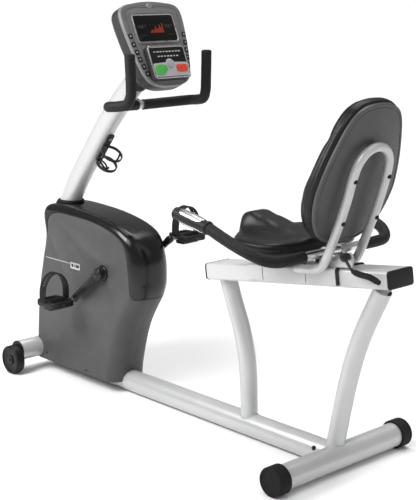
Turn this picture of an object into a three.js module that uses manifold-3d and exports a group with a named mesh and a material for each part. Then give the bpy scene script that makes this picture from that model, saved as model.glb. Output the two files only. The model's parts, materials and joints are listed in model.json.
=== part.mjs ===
// A recumbent exercise bike. Millimetres, +Z up, the rider faces -X, +Y is the rider's right.
// The origin is on the floor, midway along the length and the width.
import * as THREE from "three";
import { mergeVertices } from "three/addons/utils/BufferGeometryUtils.js";
import Module from "manifold-3d";

const wasm = await Module();
wasm.setup();

// ---- driving dimensions ----
const HALF_LENGTH = 816.5;
const FIT_GAP = 0.3; // left between two pieces that touch
const TUBE_R = 36.4; // the large tubes: beam, stabilizers and mast
const TUBE_WALL = 2.5;
const POST_R = 27; // the two curved seat posts
const BAR_R = 12.7; // bent bars of the handles and the backrest
const FOAM_R = 16.5;
const BEAM_Z = 39;

const WHEEL_R = 50.7;
const WHEEL = { x: -HALF_LENGTH + WHEEL_R, z: WHEEL_R };
const FRONT_FOOT = { x: WHEEL.x, z: 78, half: 162 };
const REAR_FOOT = { x: 612, z: 42.7, half: 250, outer: 285 };

const SHROUD_HALF = 78;
const SHROUD_BEVEL = 24;
const SHROUD_WALL = 3;
const CRANK = { x: -373, z: 420 };
const CRANK_LENGTH = 175;
const CRANK_ANGLE = (219 * Math.PI) / 180; // direction of the left crank arm
const ARM_Y = [92, 106];
const PEDAL_Y = 178;
const PEDAL = { length: 105, width: 92, thick: 20 };
const FLYWHEEL = { x: -500, z: 240, r: 115 };
const BELT_Y = [39, 49];
const BELT = { outer: 3.2, inner: 0.8 }; // how far the belt's faces stand off the pulleys
const PULLEY_R = { crank: 115, flywheel: 22 };

const RAIL = { x: 100.5, z: 504.5, length: 719.4, half: 52.2, high: 50.6, cap: 8 };
const RAIL_SLOPE = Math.atan2(99.7, 712.5);
const CONSOLE_ORIGIN = [-161, 0, 1179.5];
const CONSOLE_LEAN = Math.atan2(0.4038, 0.9149);
const BACK_ORIGIN = [647, 0, 804];
const BACK_LEAN = (18.3 * Math.PI) / 180;
const SEAT_BASE_Z = 640;
const HANDLE_Y = 280; // half the distance between the seat handles
const HANDLE_BACK = { x: 573, z: 640 }; // the handles' cross bar

// ---- colours ----
const PAINT = { silver: 0xd9dbdc, grey: 0x6e7072, rail: 0xd4d6d8 };
const BLACK = 0x17181a;
const SHINE = { paint: 0.35, plastic: 0.55, gloss: 0.15, soft: 0.9, metal: 0.3 };

const group = new THREE.Group();
group.name = "recumbent_exercise_bike";

// ---- shape tools ----
function solidOf(geometry, matrix) {
  const plain = geometry.index ? geometry.toNonIndexed() : geometry.clone();
  if (matrix) plain.applyMatrix4(matrix);
  plain.deleteAttribute("normal");
  plain.deleteAttribute("uv");
  const merged = mergeVertices(plain, 1e-4);
  const triVerts = new Uint32Array(merged.index.array);
  return new wasm.Manifold(
    new wasm.Mesh({
      numProp: 3,
      vertProperties: merged.attributes.position.array,
      triVerts,
    }),
  );
}

function geometryOf(solid) {
  const mesh = solid.getMesh();
  const count = mesh.numVert;
  const positions = new Float32Array(count * 3);
  for (let i = 0; i < count; i++) {
    positions.set(mesh.vertProperties.subarray(i * mesh.numProp, i * mesh.numProp + 3), i * 3);
  }
  const geometry = new THREE.BufferGeometry();
  geometry.setAttribute("position", new THREE.BufferAttribute(positions, 3));
  geometry.setIndex(new THREE.BufferAttribute(new Uint32Array(mesh.triVerts), 1));
  const flat = geometry.toNonIndexed();
  flat.computeVertexNormals();
  return flat;
}

function add(name, solid, color, roughness, metalness = 0) {
  const material = new THREE.MeshStandardMaterial({ color, roughness, metalness });
  const mesh = new THREE.Mesh(geometryOf(solid), material);
  mesh.name = name;
  group.add(mesh);
}

function shapeOf(points) {
  return new THREE.Shape(points.map(([x, y]) => new THREE.Vector2(x, y)));
}

function circle(radius, sides) {
  return Array.from({ length: sides }, (_, i) => {
    const angle = (2 * Math.PI * i) / sides;
    return [radius * Math.cos(angle), radius * Math.sin(angle)];
  });
}

// A frame whose local x, y and z run along the three given directions.
function frame(xAxis, yAxis, zAxis, origin) {
  const basis = new THREE.Matrix4().makeBasis(
    new THREE.Vector3(...xAxis),
    new THREE.Vector3(...yAxis),
    new THREE.Vector3(...zAxis),
  );
  return basis.setPosition(...origin);
}

// A straight round rod between two points.
function rod(from, to, radius, sides = 12) {
  const start = new THREE.Vector3(...from);
  const end = new THREE.Vector3(...to);
  const along = end.clone().sub(start);
  const turn = new THREE.Quaternion().setFromUnitVectors(
    new THREE.Vector3(0, 1, 0),
    along.clone().normalize(),
  );
  const middle = start.clone().add(end).multiplyScalar(0.5);
  const matrix = new THREE.Matrix4().compose(middle, turn, new THREE.Vector3(1, 1, 1));
  return solidOf(new THREE.CylinderGeometry(radius, radius, along.length(), sides), matrix);
}

function box([x0, y0, z0], [x1, y1, z1], matrix) {
  const geometry = new THREE.BoxGeometry(x1 - x0, y1 - y0, z1 - z0);
  geometry.translate((x0 + x1) / 2, (y0 + y1) / 2, (z0 + z1) / 2);
  return solidOf(geometry, matrix);
}

// A round bar that follows a smooth path through the points.
function bar(points, radius, sides = 8, steps = 8) {
  const path = new THREE.CatmullRomCurve3(
    points.map((p) => new THREE.Vector3(...p)),
    false,
    "centripetal",
  );
  const options = { steps, extrudePath: path, bevelEnabled: false };
  return solidOf(new THREE.ExtrudeGeometry(shapeOf(circle(radius, sides)), options));
}

// An outline drawn in x and z, given its width in y. A bevel rounds both side edges.
function plate(points, y0, y1, bevel = 0, inset = 0, segments = 2) {
  const geometry = new THREE.ExtrudeGeometry(shapeOf(points), {
    depth: y1 - y0 - 2 * bevel,
    bevelEnabled: bevel > 0,
    bevelThickness: bevel,
    bevelSize: bevel,
    bevelOffset: -bevel - inset,
    bevelSegments: segments,
  });
  const upright = frame([1, 0, 0], [0, 0, 1], [0, -1, 0], [0, y1 - bevel, 0]);
  return solidOf(geometry, upright);
}

// An outline drawn in a frame's x and y, raised from z0 to z1 in that frame.
function slab(points, z0, z1, matrix, bevel = 0, segments = 2) {
  const geometry = new THREE.ExtrudeGeometry(shapeOf(points), {
    depth: z1 - z0 - 2 * bevel,
    bevelEnabled: bevel > 0,
    bevelThickness: bevel,
    bevelSize: bevel,
    bevelOffset: -bevel,
    bevelSegments: segments,
  });
  geometry.translate(0, 0, z0 + bevel);
  return solidOf(geometry, matrix);
}

// A turned piece: profile of [radius, distance along the axis].
function turned(profile, matrix, sides = 20) {
  const points = profile.map(([r, h]) => new THREE.Vector2(r, h));
  return solidOf(new THREE.LatheGeometry(points, sides), matrix);
}

function union(...solids) {
  return solids.reduce((sum, solid) => sum.add(solid));
}

function without(solid, ...cutters) {
  return cutters.reduce((rest, cutter) => rest.subtract(cutter), solid);
}

const mirrored = (points) => points.map(([x, y, z]) => [x, -y, z]);
const sideNames = [
  ["left", -1],
  ["right", 1],
];

// Outline with its right half given, mirrored about x = 0.
function symmetric(half) {
  return half.concat(half.map(([x, y]) => [-x, y]).reverse().filter(([x]) => x !== 0));
}

function rounded(halfWide, low, high, radius, corner = 2) {
  const points = [];
  const centres = [
    [halfWide - radius, low + radius, -90],
    [halfWide - radius, high - radius, 0],
    [-halfWide + radius, high - radius, 90],
    [-halfWide + radius, low + radius, 180],
  ];
  for (const [cx, cy, start] of centres) {
    for (let i = 0; i <= corner; i++) {
      const angle = ((start + (90 * i) / corner) * Math.PI) / 180;
      points.push([cx + radius * Math.cos(angle), cy + radius * Math.sin(angle)]);
    }
  }
  return points;
}

// Turned pieces that stand across the bike: the profile's distance runs along y.
const acrossAt = (x, z) => frame([1, 0, 0], [0, 1, 0], [0, 0, 1], [x, 0, z]);

// ---- base frame ----
const railFrame = new THREE.Matrix4()
  .makeTranslation(RAIL.x, 0, RAIL.z)
  .multiply(new THREE.Matrix4().makeRotationY(-RAIL_SLOPE));
// Section outlines are drawn in y and z of the rail and run along its length.
const railSection = railFrame
  .clone()
  .multiply(frame([0, 1, 0], [0, 0, 1], [1, 0, 0], [0, 0, 0]));
const acrossRod = (foot, radius, half, sides = 20) =>
  rod([foot.x, -half, foot.z], [foot.x, half, foot.z], radius, sides);
const beamRod = (radius) => rod([WHEEL.x, 0, BEAM_Z], [REAR_FOOT.x, 0, BEAM_Z], radius, 20);

function addBaseFrame() {
  const frontCut = acrossRod(FRONT_FOOT, TUBE_R + FIT_GAP, FRONT_FOOT.half + 5);
  const rearCut = acrossRod(REAR_FOOT, TUBE_R + FIT_GAP, REAR_FOOT.half);
  const beamBore = rod([-900, 0, BEAM_Z], [900, 0, BEAM_Z], TUBE_R - TUBE_WALL, 20);
  add("main_beam", without(beamRod(TUBE_R), beamBore, frontCut, rearCut), PAINT.silver, SHINE.paint);
  for (const [name, foot] of [
    ["front_stabilizer", FRONT_FOOT],
    ["rear_stabilizer", REAR_FOOT],
  ]) {
    const bore = acrossRod(foot, TUBE_R - TUBE_WALL, foot.half + 5);
    add(name, without(acrossRod(foot, TUBE_R, foot.half), bore), PAINT.silver, SHINE.paint);
  }
}

function addSeatPosts() {
  const beamCut = beamRod(TUBE_R + FIT_GAP);
  const rearCut = acrossRod(REAR_FOOT, TUBE_R + FIT_GAP, REAR_FOOT.half);
  const railCut = box(
    [-50, -RAIL.half - FIT_GAP, -RAIL.high / 2 - FIT_GAP],
    [RAIL.length + 50, RAIL.half + FIT_GAP, 90],
    railFrame,
  );
  const posts = {
    mid_seat_post: [
      [245, 0, 50],
      [244, 0, 120],
      [239, 0, 212],
      [229, 0, 274],
      [208, 0, 344],
      [181, 0, 405],
      [152, 0, 480],
      [138, 0, 520],
    ],
    rear_seat_post: [
      [592, 0, 45],
      [603, 0, 105],
      [622, 0, 200],
      [643, 0, 290],
      [664, 0, 363],
      [692, 0, 436],
      [724, 0, 503],
      [764, 0, 585],
    ],
  };
  for (const [name, path] of Object.entries(posts)) {
    const wall = bar(path, POST_R, 12, 7).subtract(bar(path, POST_R - TUBE_WALL, 12, 7));
    add(name, without(wall, beamCut, rearCut, railCut), PAINT.silver, SHINE.paint);
  }
}

function addRail() {
  const { length, half, high, cap } = RAIL;
  const outer = slab(rounded(half, -high / 2, high / 2, 9), cap, length - cap, railSection);
  const inner = slab(
    rounded(half - TUBE_WALL, -high / 2 + TUBE_WALL, high / 2 - TUBE_WALL, 7),
    0,
    length,
    railSection,
  );
  add("seat_rail", outer.subtract(inner), PAINT.rail, SHINE.paint);
  const plugSection = rounded(half - 3, -high / 2 + 3, high / 2 - 3, 6.5);
  for (const [name, from, to, plugFrom, plugTo] of [
    ["rail_front_cap", 0, cap - FIT_GAP, cap - 1, cap + 14],
    ["rail_rear_cap", length - cap + FIT_GAP, length, length - cap - 14, length - cap + 1],
  ]) {
    const lid = slab(rounded(half, -high / 2, high / 2, 9), from, to, railSection);
    const plug = slab(plugSection, plugFrom, plugTo, railSection);
    add(name, lid.add(plug), BLACK, SHINE.plastic);
  }
}

// Rubber ends of the rear stabilizer, each with a flat to stand on.
function addRearFeet() {
  const capR = 43;
  const length = 44;
  const bore = TUBE_R + 0.5;
  for (const [side, sign] of sideNames) {
    const outer = REAR_FOOT.outer * sign;
    const at = (distance) => outer - distance * sign;
    const profile = [
      [0, at(0)],
      [capR - 4, at(0)],
      [capR, at(4)],
      [capR, at(length)],
      [bore, at(length)],
      [bore, at(7)],
      [0, at(7)],
    ];
    if (sign > 0) profile.reverse();
    const cap = turned(profile, acrossAt(REAR_FOOT.x, REAR_FOOT.z));
    const trimmed = cap.subtract(box([500, -400, -20], [700, 400, 0]));
    const plug = rod(
      [REAR_FOOT.x, at(6), REAR_FOOT.z],
      [REAR_FOOT.x, (REAR_FOOT.half + FIT_GAP) * sign, REAR_FOOT.z],
      20,
    );
    add("rear_foot_" + side, trimmed.add(plug), BLACK, SHINE.soft);
  }
}

// Transport wheels turn on stub axles that the stabilizer's end brackets carry.
function addTransportWheels() {
  const wheelY = [169, 202];
  const boreR = 9.5;
  const lidY = [FRONT_FOOT.half + FIT_GAP, 167];
  for (const [side, sign] of sideNames) {
    const y = (distance) => distance * sign;
    const profile = [
      [boreR, y(wheelY[0])],
      [WHEEL_R - 3, y(wheelY[0])],
      [WHEEL_R, y(wheelY[0] + 4)],
      [WHEEL_R, y(wheelY[1] - 4)],
      [WHEEL_R - 3, y(wheelY[1])],
      [WHEEL_R - 10, y(wheelY[1])],
      [20, y(wheelY[1] - 7)],
      [boreR, y(wheelY[1] - 7)],
      [boreR, y(wheelY[0])],
    ];
    if (sign < 0) profile.reverse();
    const turn = new THREE.Matrix4()
      .makeTranslation(WHEEL.x, 0, WHEEL.z)
      .multiply(new THREE.Matrix4().makeRotationY(Math.PI));
    add("transport_wheel_" + side, turned(profile, turn, 24), BLACK, SHINE.soft);
    const tubeEnd = (distance) => [WHEEL.x, y(distance), FRONT_FOOT.z];
    const wheelEnd = (distance) => [WHEEL.x, y(distance), WHEEL.z];
    const lid = rod(tubeEnd(lidY[0]), tubeEnd(lidY[1]), TUBE_R, 20);
    const plug = rod(tubeEnd(140), tubeEnd(165), TUBE_R - TUBE_WALL - 0.5, 20);
    const cheek = rod(wheelEnd(lidY[0]), wheelEnd(lidY[1]), 26, 20);
    const axle = rod(wheelEnd(165), wheelEnd(200), 8.5);
    const head = rod(wheelEnd(195.7), wheelEnd(200.5), 16);
    const bracket = union(lid, plug, cheek, axle, head);
    add("wheel_bracket_" + side, bracket, BLACK, SHINE.plastic);
  }
}

// ---- mast ----
const mastPath = [
  [-668, 0, 590],
  [-648, 0, 622],
  [-600, 0, 698],
  [-512, 0, 810],
  [-422, 0, 921],
  [-346, 0, 999],
  [-290, 0, 1050],
  [-228, 0, 1100],
];
const mastSolid = (radius) => bar(mastPath, radius, 14, 7);

const MAST_R = TUBE_R - 0.4;

function addMast() {
  const wall = mastSolid(MAST_R).subtract(mastSolid(MAST_R - TUBE_WALL));
  add("mast", wall, PAINT.silver, SHINE.paint);
}

// ---- drive housing ----
const SHROUD_OUTLINE = [
  [-716, 38],
  [-376, 40],
  [-354, 58],
  [-336, 120],
  [-319, 185],
  [-298, 238],
  [-268, 290],
  [-232, 346],
  [-220, 382],
  [-217, 425],
  [-222, 482],
  [-236, 524],
  [-260, 556],
  [-298, 578],
  [-396, 602],
  [-532, 614],
  [-640, 616],
  [-694, 607],
  [-712, 588],
  [-713, 556],
  [-704, 500],
  [-754, 312],
  [-777, 103],
  [-768, 60],
  [-745, 41],
];
const GROOVE_LINE = [
  [-760, 492],
  [-690, 500],
  [-678, 560],
  [-658, 582],
  [-620, 591],
  [-523, 591],
  [-440, 587],
  [-360, 574],
  [-300, 555],
  [-266, 531],
  [-250, 498],
  [-241, 440],
  [-234, 362],
  [-170, 346],
];

// A thin closed strip drawn along an open line.
function ribbon(line, halfWidth) {
  const left = [];
  const right = [];
  line.forEach((point, i) => {
    const before = line[Math.max(i - 1, 0)];
    const after = line[Math.min(i + 1, line.length - 1)];
    const dx = after[0] - before[0];
    const dz = after[1] - before[1];
    const size = Math.hypot(dx, dz);
    const offset = [(-dz / size) * halfWidth, (dx / size) * halfWidth];
    left.push([point[0] + offset[0], point[1] + offset[1]]);
    right.push([point[0] - offset[0], point[1] - offset[1]]);
  });
  return right.concat(left.reverse());
}

const BULGE = { half: 46, depth: 24, from: -377, below: 560 };
const BULGED_OUTLINE = SHROUD_OUTLINE.map(([x, z]) =>
  x > BULGE.from && z < BULGE.below ? [x + BULGE.depth, z] : [x, z],
);

// The housing's side walls, and the middle of its back that bulges behind them.
function shroudSolid(inset) {
  const sides = plate(
    SHROUD_OUTLINE,
    -SHROUD_HALF + inset,
    SHROUD_HALF - inset,
    SHROUD_BEVEL,
    inset,
  );
  const back = plate(BULGED_OUTLINE, -BULGE.half + inset, BULGE.half - inset, SHROUD_BEVEL, inset);
  return sides.add(back);
}

function addShroud() {
  const shell = shroudSolid(0).subtract(shroudSolid(SHROUD_WALL));
  const groove = plate(ribbon(GROOVE_LINE, 0.9), -90, 90);
  const above = plate([...GROOVE_LINE, [-170, 700], [-800, 700], [-800, 492]].reverse(), -95, 95);
  const beamHole = rod([-800, 0, BEAM_Z], [-300, 0, BEAM_Z], TUBE_R + 1, 20);
  const footHole = acrossRod(FRONT_FOOT, TUBE_R + 1, 120, 24);
  const crankHole = rod([CRANK.x, -100, CRANK.z], [CRANK.x, 100, CRANK.z], 24, 24);
  const opened = without(shell, groove, beamHole, footHole, crankHole);
  const cover = opened.intersect(above).subtract(mastSolid(TUBE_R + 0.6));
  const lower = opened.subtract(above);
  add("shroud_cover", largest(cover), BLACK, SHINE.gloss);
  const farRight = box([-900, -FIT_GAP / 2, -50], [0, 120, 700]);
  const farLeft = box([-900, -120, -50], [0, FIT_GAP / 2, 700]);
  add("shroud_left", largest(lower.subtract(farRight)), PAINT.grey, SHINE.plastic);
  add("shroud_right", largest(lower.subtract(farLeft)), PAINT.grey, SHINE.plastic);
  const sleeve = bar(mastPath.slice(0, 4), TUBE_R + 9, 14, 5);
  const band = box([-800, -80, 585], [-540, 80, 628]);
  const boot = without(sleeve.intersect(band), mastSolid(TUBE_R), grownShroud());
  add("mast_boot", largest(boot), BLACK, SHINE.soft);
}

function grownShroud() {
  return plate(
    SHROUD_OUTLINE,
    -SHROUD_HALF - FIT_GAP,
    SHROUD_HALF + FIT_GAP,
    SHROUD_BEVEL,
    -FIT_GAP,
  );
}

function largest(solid) {
  return solid.decompose().sort((a, b) => b.volume() - a.volume())[0];
}

// ---- cranks and pedals ----
const crankTip = (sign) => ({
  x: CRANK.x - sign * CRANK_LENGTH * Math.cos(CRANK_ANGLE),
  z: CRANK.z - sign * CRANK_LENGTH * Math.sin(CRANK_ANGLE),
});

function addCranks() {
  const axleR = 8.5;
  const axle = rod([CRANK.x, -104, CRANK.z], [CRANK.x, 104, CRANK.z], axleR, 24);
  add("crank_axle", axle, 0xa8aaad, SHINE.metal, 0.9);
  const pulleyProfile = [
    [axleR + FIT_GAP, BELT_Y[0] - 2],
    [30, BELT_Y[0] - 2],
    [96, BELT_Y[0] + 3],
    [PULLEY_R.crank, BELT_Y[0]],
    [PULLEY_R.crank, BELT_Y[1]],
    [96, BELT_Y[1] - 3],
    [30, BELT_Y[1] + 2],
    [axleR + FIT_GAP, BELT_Y[1] + 2],
    [axleR + FIT_GAP, BELT_Y[0] - 2],
  ];
  add("drive_pulley", turned(pulleyProfile, acrossAt(CRANK.x, CRANK.z), 24), BLACK, SHINE.plastic);
  for (const [side, sign] of sideNames) {
    const tip = crankTip(sign);
    const [inner, outer] = ARM_Y.map((y) => y * sign);
    const boss = rod([CRANK.x, 83 * sign, CRANK.z], [CRANK.x, outer, CRANK.z], 20, 24);
    const end = rod([tip.x, inner, tip.z], [tip.x, outer, tip.z], 13, 20);
    const web = crankWeb(tip, Math.min(inner, outer), Math.max(inner, outer));
    const axleBore = rod([CRANK.x, 80 * sign, CRANK.z], [CRANK.x, 120 * sign, CRANK.z], 8.8, 24);
    const pinBore = rod([tip.x, 80 * sign, tip.z], [tip.x, 120 * sign, tip.z], 6.8, 16);
    const arm = without(union(boss, end, web), axleBore, pinBore);
    add("crank_arm_" + side, arm, BLACK, SHINE.paint, 0.2);
    const pin = rod([tip.x, inner, tip.z], [tip.x, 223 * sign, tip.z], 6.5, 16);
    const collar = rod([tip.x, 106.4 * sign, tip.z], [tip.x, 111 * sign, tip.z], 10, 16);
    add("pedal_axle_" + side, pin.add(collar), 0x9a9c9f, SHINE.metal, 0.9);
    addPedal(side, sign, tip);
  }
}

// The tapered bar between the crank's boss and its tip.
function crankWeb(tip, y0, y1) {
  const along = [(tip.x - CRANK.x) / CRANK_LENGTH, (tip.z - CRANK.z) / CRANK_LENGTH];
  const across = [-along[1], along[0]];
  const corner = (origin, half) => [origin[0] + across[0] * half, origin[1] + across[1] * half];
  const hub = [CRANK.x, CRANK.z];
  const end = [tip.x, tip.z];
  return plate([corner(hub, -15), corner(end, -10), corner(end, 10), corner(hub, 15)], y0, y1);
}

function addPedal(side, sign, tip) {
  const { length, width, thick } = PEDAL;
  const centre = [tip.x, PEDAL_Y * sign, tip.z];
  const place = new THREE.Matrix4().makeTranslation(...centre);
  const half = length / 2;
  const deck = slab(rounded(half, -width / 2, width / 2, 10), -thick / 2, thick / 2, place);
  const windows = [-1, 1].map((end) =>
    box(
      [end > 0 ? 15 : -half + 12, -width / 2 + 11, -20],
      [end > 0 ? half - 12 : -15, width / 2 - 11, 20],
      place,
    ),
  );
  const weight = box([-22, -width / 2 + 8, -22], [22, width / 2 - 8, -thick / 2 + 1], place);
  const bore = rod([tip.x, 111.6 * sign, tip.z], [tip.x, 240 * sign, tip.z], 7.4, 16);
  const body = without(deck.add(weight), ...windows, bore);
  add("pedal_" + side, body, BLACK, SHINE.plastic);
  const arch = (halfWide, top) => {
    const points = [];
    for (let i = 0; i <= 12; i++) {
      const angle = (Math.PI * i) / 12;
      points.push([halfWide * Math.cos(angle), 34 + (top - 34) * Math.sin(angle)]);
    }
    return points;
  };
  const outerHalf = width / 2 + 3.6;
  const innerHalf = width / 2 + FIT_GAP;
  const outline = [
    [outerHalf, 8],
    ...arch(outerHalf, 104),
    [-outerHalf, 8],
    [-innerHalf, 8],
    ...arch(innerHalf, 100.5).reverse(),
    [innerHalf, 8],
  ];
  const upright = place.clone().multiply(frame([0, 1, 0], [0, 0, 1], [1, 0, 0], [0, 0, 0]));
  add("pedal_strap_" + side, slab(outline, -22, 12, upright), BLACK, SHINE.soft);
}

// ---- flywheel, belt and brake ----
function beltLoop(radiusGap) {
  const big = { ...CRANK, r: PULLEY_R.crank + radiusGap };
  const small = { ...FLYWHEEL, r: PULLEY_R.flywheel + radiusGap };
  const dx = small.x - big.x;
  const dz = small.z - big.z;
  const toSmall = Math.atan2(dz, dx);
  const tangent = Math.acos((big.r - small.r) / Math.hypot(dx, dz));
  const arc = (wheel, from, to, count) =>
    Array.from({ length: count + 1 }, (_, i) => {
      const angle = from + ((to - from) * i) / count;
      return [wheel.x + wheel.r * Math.cos(angle), wheel.z + wheel.r * Math.sin(angle)];
    });
  return [
    ...arc(big, toSmall + tangent, toSmall + 2 * Math.PI - tangent, 24),
    ...arc(small, toSmall - tangent, toSmall + tangent, 5),
  ];
}

function addFlywheel() {
  const place = acrossAt(FLYWHEEL.x, FLYWHEEL.z);
  const boreR = 8.3;
  const profile = [
    [boreR, -15],
    [24, -15],
    [86, -5],
    [90, -12],
    [FLYWHEEL.r, -12],
    [FLYWHEEL.r, 12],
    [90, 12],
    [86, 5],
    [24, 15],
    [boreR, 15],
    [boreR, -15],
  ];
  add("flywheel", turned(profile, place, 28), 0x55585c, SHINE.metal, 0.8);
  const axle = rod([FLYWHEEL.x, -32, FLYWHEEL.z], [FLYWHEEL.x, 53, FLYWHEEL.z], 8, 20);
  add("flywheel_axle", axle, 0xa8aaad, SHINE.metal, 0.9);
  const pulley = [
    [boreR, BELT_Y[0] - 3],
    [PULLEY_R.flywheel, BELT_Y[0] - 3],
    [PULLEY_R.flywheel, BELT_Y[1] + 2],
    [boreR, BELT_Y[1] + 2],
    [boreR, BELT_Y[0] - 3],
  ];
  add("flywheel_pulley", turned(pulley, place, 16), 0x8c8e91, SHINE.metal, 0.8);
  const outer = plate(beltLoop(BELT.outer), BELT_Y[0] + 1, BELT_Y[1] - 1);
  const inner = plate(beltLoop(BELT.inner), BELT_Y[0] - 5, BELT_Y[1] + 5);
  add("drive_belt", outer.subtract(inner), 0x101112, SHINE.soft);
}

const BRAKE_PIVOT = { x: -612, z: 345 };

function addBrake() {
  const ring = (radius, from, to, count) =>
    Array.from({ length: count + 1 }, (_, i) => {
      const angle = ((from + ((to - from) * i) / count) * Math.PI) / 180;
      return [FLYWHEEL.x + radius * Math.cos(angle), FLYWHEEL.z + radius * Math.sin(angle)];
    });
  const shoe = plate([...ring(119, 55, 125, 10), ...ring(127, 125, 55, 10)].reverse(), -15, 15);
  const lug = plate(
    [
      [-570, 330],
      [-564, 352],
      [-612, 357],
      [-622, 345],
      [-612, 334],
    ],
    -15,
    15,
  );
  const clearance = acrossRod(FLYWHEEL, 118.9, 40, 48);
  const bore = rod([BRAKE_PIVOT.x, -30, BRAKE_PIVOT.z], [BRAKE_PIVOT.x, 30, BRAKE_PIVOT.z], 4.6, 16);
  add("brake_arm", without(shoe.add(lug), clearance, bore), 0xb4b6b8, SHINE.metal, 0.7);
  const motor = box([-590, -20, 440.5], [-535, 20, 476]);
  const drum = rod([-562, 20, 458], [-562, 32, 458], 12, 16);
  add("brake_motor", motor.add(drum), BLACK, SHINE.plastic);
}

// The welded frame inside the housing: tower, strut, bottom bracket, flywheel arms, brake pin.
function addInnerFrame() {
  const towerX = -655;
  const tower = rod([towerX, 0, 60], [towerX, 0, 566], 22, 20);
  const strut = rod([towerX, 0, 422], [CRANK.x, 0, 422], 16, 16);
  const prop = rod([-370, 0, 60], [-366, 0, 410], 12);
  const shell = rod([CRANK.x, -36, CRANK.z], [CRANK.x, 35, CRANK.z], 22, 24);
  const arms = [
    [-27, -19],
    [19, 27],
  ].map(([y0, y1]) =>
    plate(
      [
        [towerX - 5, 222],
        [-490, 222],
        [-480, 232],
        [-480, 248],
        [-490, 258],
        [towerX - 5, 258],
      ],
      y0,
      y1,
    ),
  );
  const ears = [
    [-22, -16],
    [16, 22],
  ].map(([y0, y1]) =>
    plate(
      [
        [towerX, 330],
        [-606, 335],
        [-603, 345],
        [-606, 355],
        [towerX, 362],
      ],
      y0,
      y1,
    ),
  );
  const pin = rod([BRAKE_PIVOT.x, -20, BRAKE_PIVOT.z], [BRAKE_PIVOT.x, 20, BRAKE_PIVOT.z], 4, 16);
  const shelf = box([-595, -18, 430], [-530, 18, 440.2]);
  const frameSolid = union(tower, strut, prop, shell, ...arms, ...ears, pin, shelf);
  const crankBore = rod([CRANK.x, -60, CRANK.z], [CRANK.x, 60, CRANK.z], 9.1, 24);
  const wheelBore = rod([FLYWHEEL.x, -60, FLYWHEEL.z], [FLYWHEEL.x, 60, FLYWHEEL.z], 8.6, 20);
  const beamCut = beamRod(TUBE_R + FIT_GAP);
  add("inner_frame", without(frameSolid, crankBore, wheelBore, beamCut), PAINT.grey, SHINE.paint);
}

// ---- console ----
const consoleFrame = frame(
  [0, 1, 0],
  [-Math.sin(CONSOLE_LEAN), 0, Math.cos(CONSOLE_LEAN)],
  [Math.cos(CONSOLE_LEAN), 0, Math.sin(CONSOLE_LEAN)],
  CONSOLE_ORIGIN,
);
const CONSOLE_HALF = [
  [0, -137],
  [45, -134],
  [76, -120],
  [91, -100],
  [106, -55],
  [118, 10],
  [125, 85],
  [122, 112],
  [108, 128],
  [60, 139],
  [0, 144],
];
const PODIUM_RISE = 20;

function addConsole() {
  const outline = symmetric(CONSOLE_HALF);
  const shellOuter = slab(outline, -64, -14, consoleFrame, 22, 3);
  const insideOutline = symmetric(CONSOLE_HALF.map(([x, y]) => [x * 0.86, y * 0.9]));
  const shellInner = slab(insideOutline, -52, 0, consoleFrame);
  const neck = mastSolid(TUBE_R + 5).intersect(box([-272, -60, 1066], [-190, 60, 1200]));
  const back = without(shellOuter.add(neck), shellInner, mastSolid(TUBE_R));
  add("console_back", largest(back), 0x55575a, SHINE.plastic);

  const base = slab(outline, -14 + FIT_GAP, 0, consoleFrame, 4, 2);
  const podium = slab(rounded(76, -119, -9, 12), -8, PODIUM_RISE, consoleFrame, 4, 2);
  const windowPocket = slab(rounded(79.5, 12, 96, 8), -2.5, 20, consoleFrame);
  const overlayPocket = slab(rounded(70, -113, -17, 8), PODIUM_RISE - 2, 40, consoleFrame);
  const wells = buttonPlans().map(([, outlinePoints]) =>
    slab(grow(outlinePoints, 0.6), PODIUM_RISE - 9, 60, consoleFrame),
  );
  const face = without(base.add(podium), windowPocket, overlayPocket, ...wells);
  add("console_face", face, 0x8d9093, SHINE.plastic);
  const glass = slab(rounded(79, 12.5, 95.5, 8), -2.2, 0.6, consoleFrame);
  add("display_window", glass, 0x080809, SHINE.gloss);
  const overlay = slab(
    rounded(69.6, -112.6, -17.4, 8),
    PODIUM_RISE - 1.7,
    PODIUM_RISE + 0.4,
    consoleFrame,
  );
  add("key_overlay", without(overlay, ...wells), 0x2a2b2d, SHINE.plastic);
  for (const [name, outlinePoints, color] of buttonPlans()) {
    const key = slab(outlinePoints, PODIUM_RISE - 6, PODIUM_RISE + 4, consoleFrame, 1.2, 1);
    add(name, key, color, SHINE.plastic);
  }
}

function buttonPlans() {
  const start = [
    [-63, -104],
    [-32, -104],
    [-14, -84],
    [-20, -76],
    [-58, -73],
    [-65, -80],
  ];
  const stop = rounded(22, -98, -75, 8).map(([x, y]) => [x + 43, y]);
  const dial = circle(12, 10).map(([x, y]) => [x, y - 72]);
  return [
    ["start_button", start, 0x3fa648],
    ["stop_button", stop, 0xc5342c],
    ["select_pad", dial, 0xa9a7b4],
  ];
}

// The outline pushed outwards from its own middle by a small distance.
function grow(points, distance) {
  const cx = points.reduce((sum, [x]) => sum + x, 0) / points.length;
  const cy = points.reduce((sum, [, y]) => sum + y, 0) / points.length;
  return points.map(([x, y]) => {
    const size = Math.hypot(x - cx, y - cy);
    const scale = (size + distance * 1.4) / size;
    return [cx + (x - cx) * scale, cy + (y - cy) * scale];
  });
}

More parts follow.
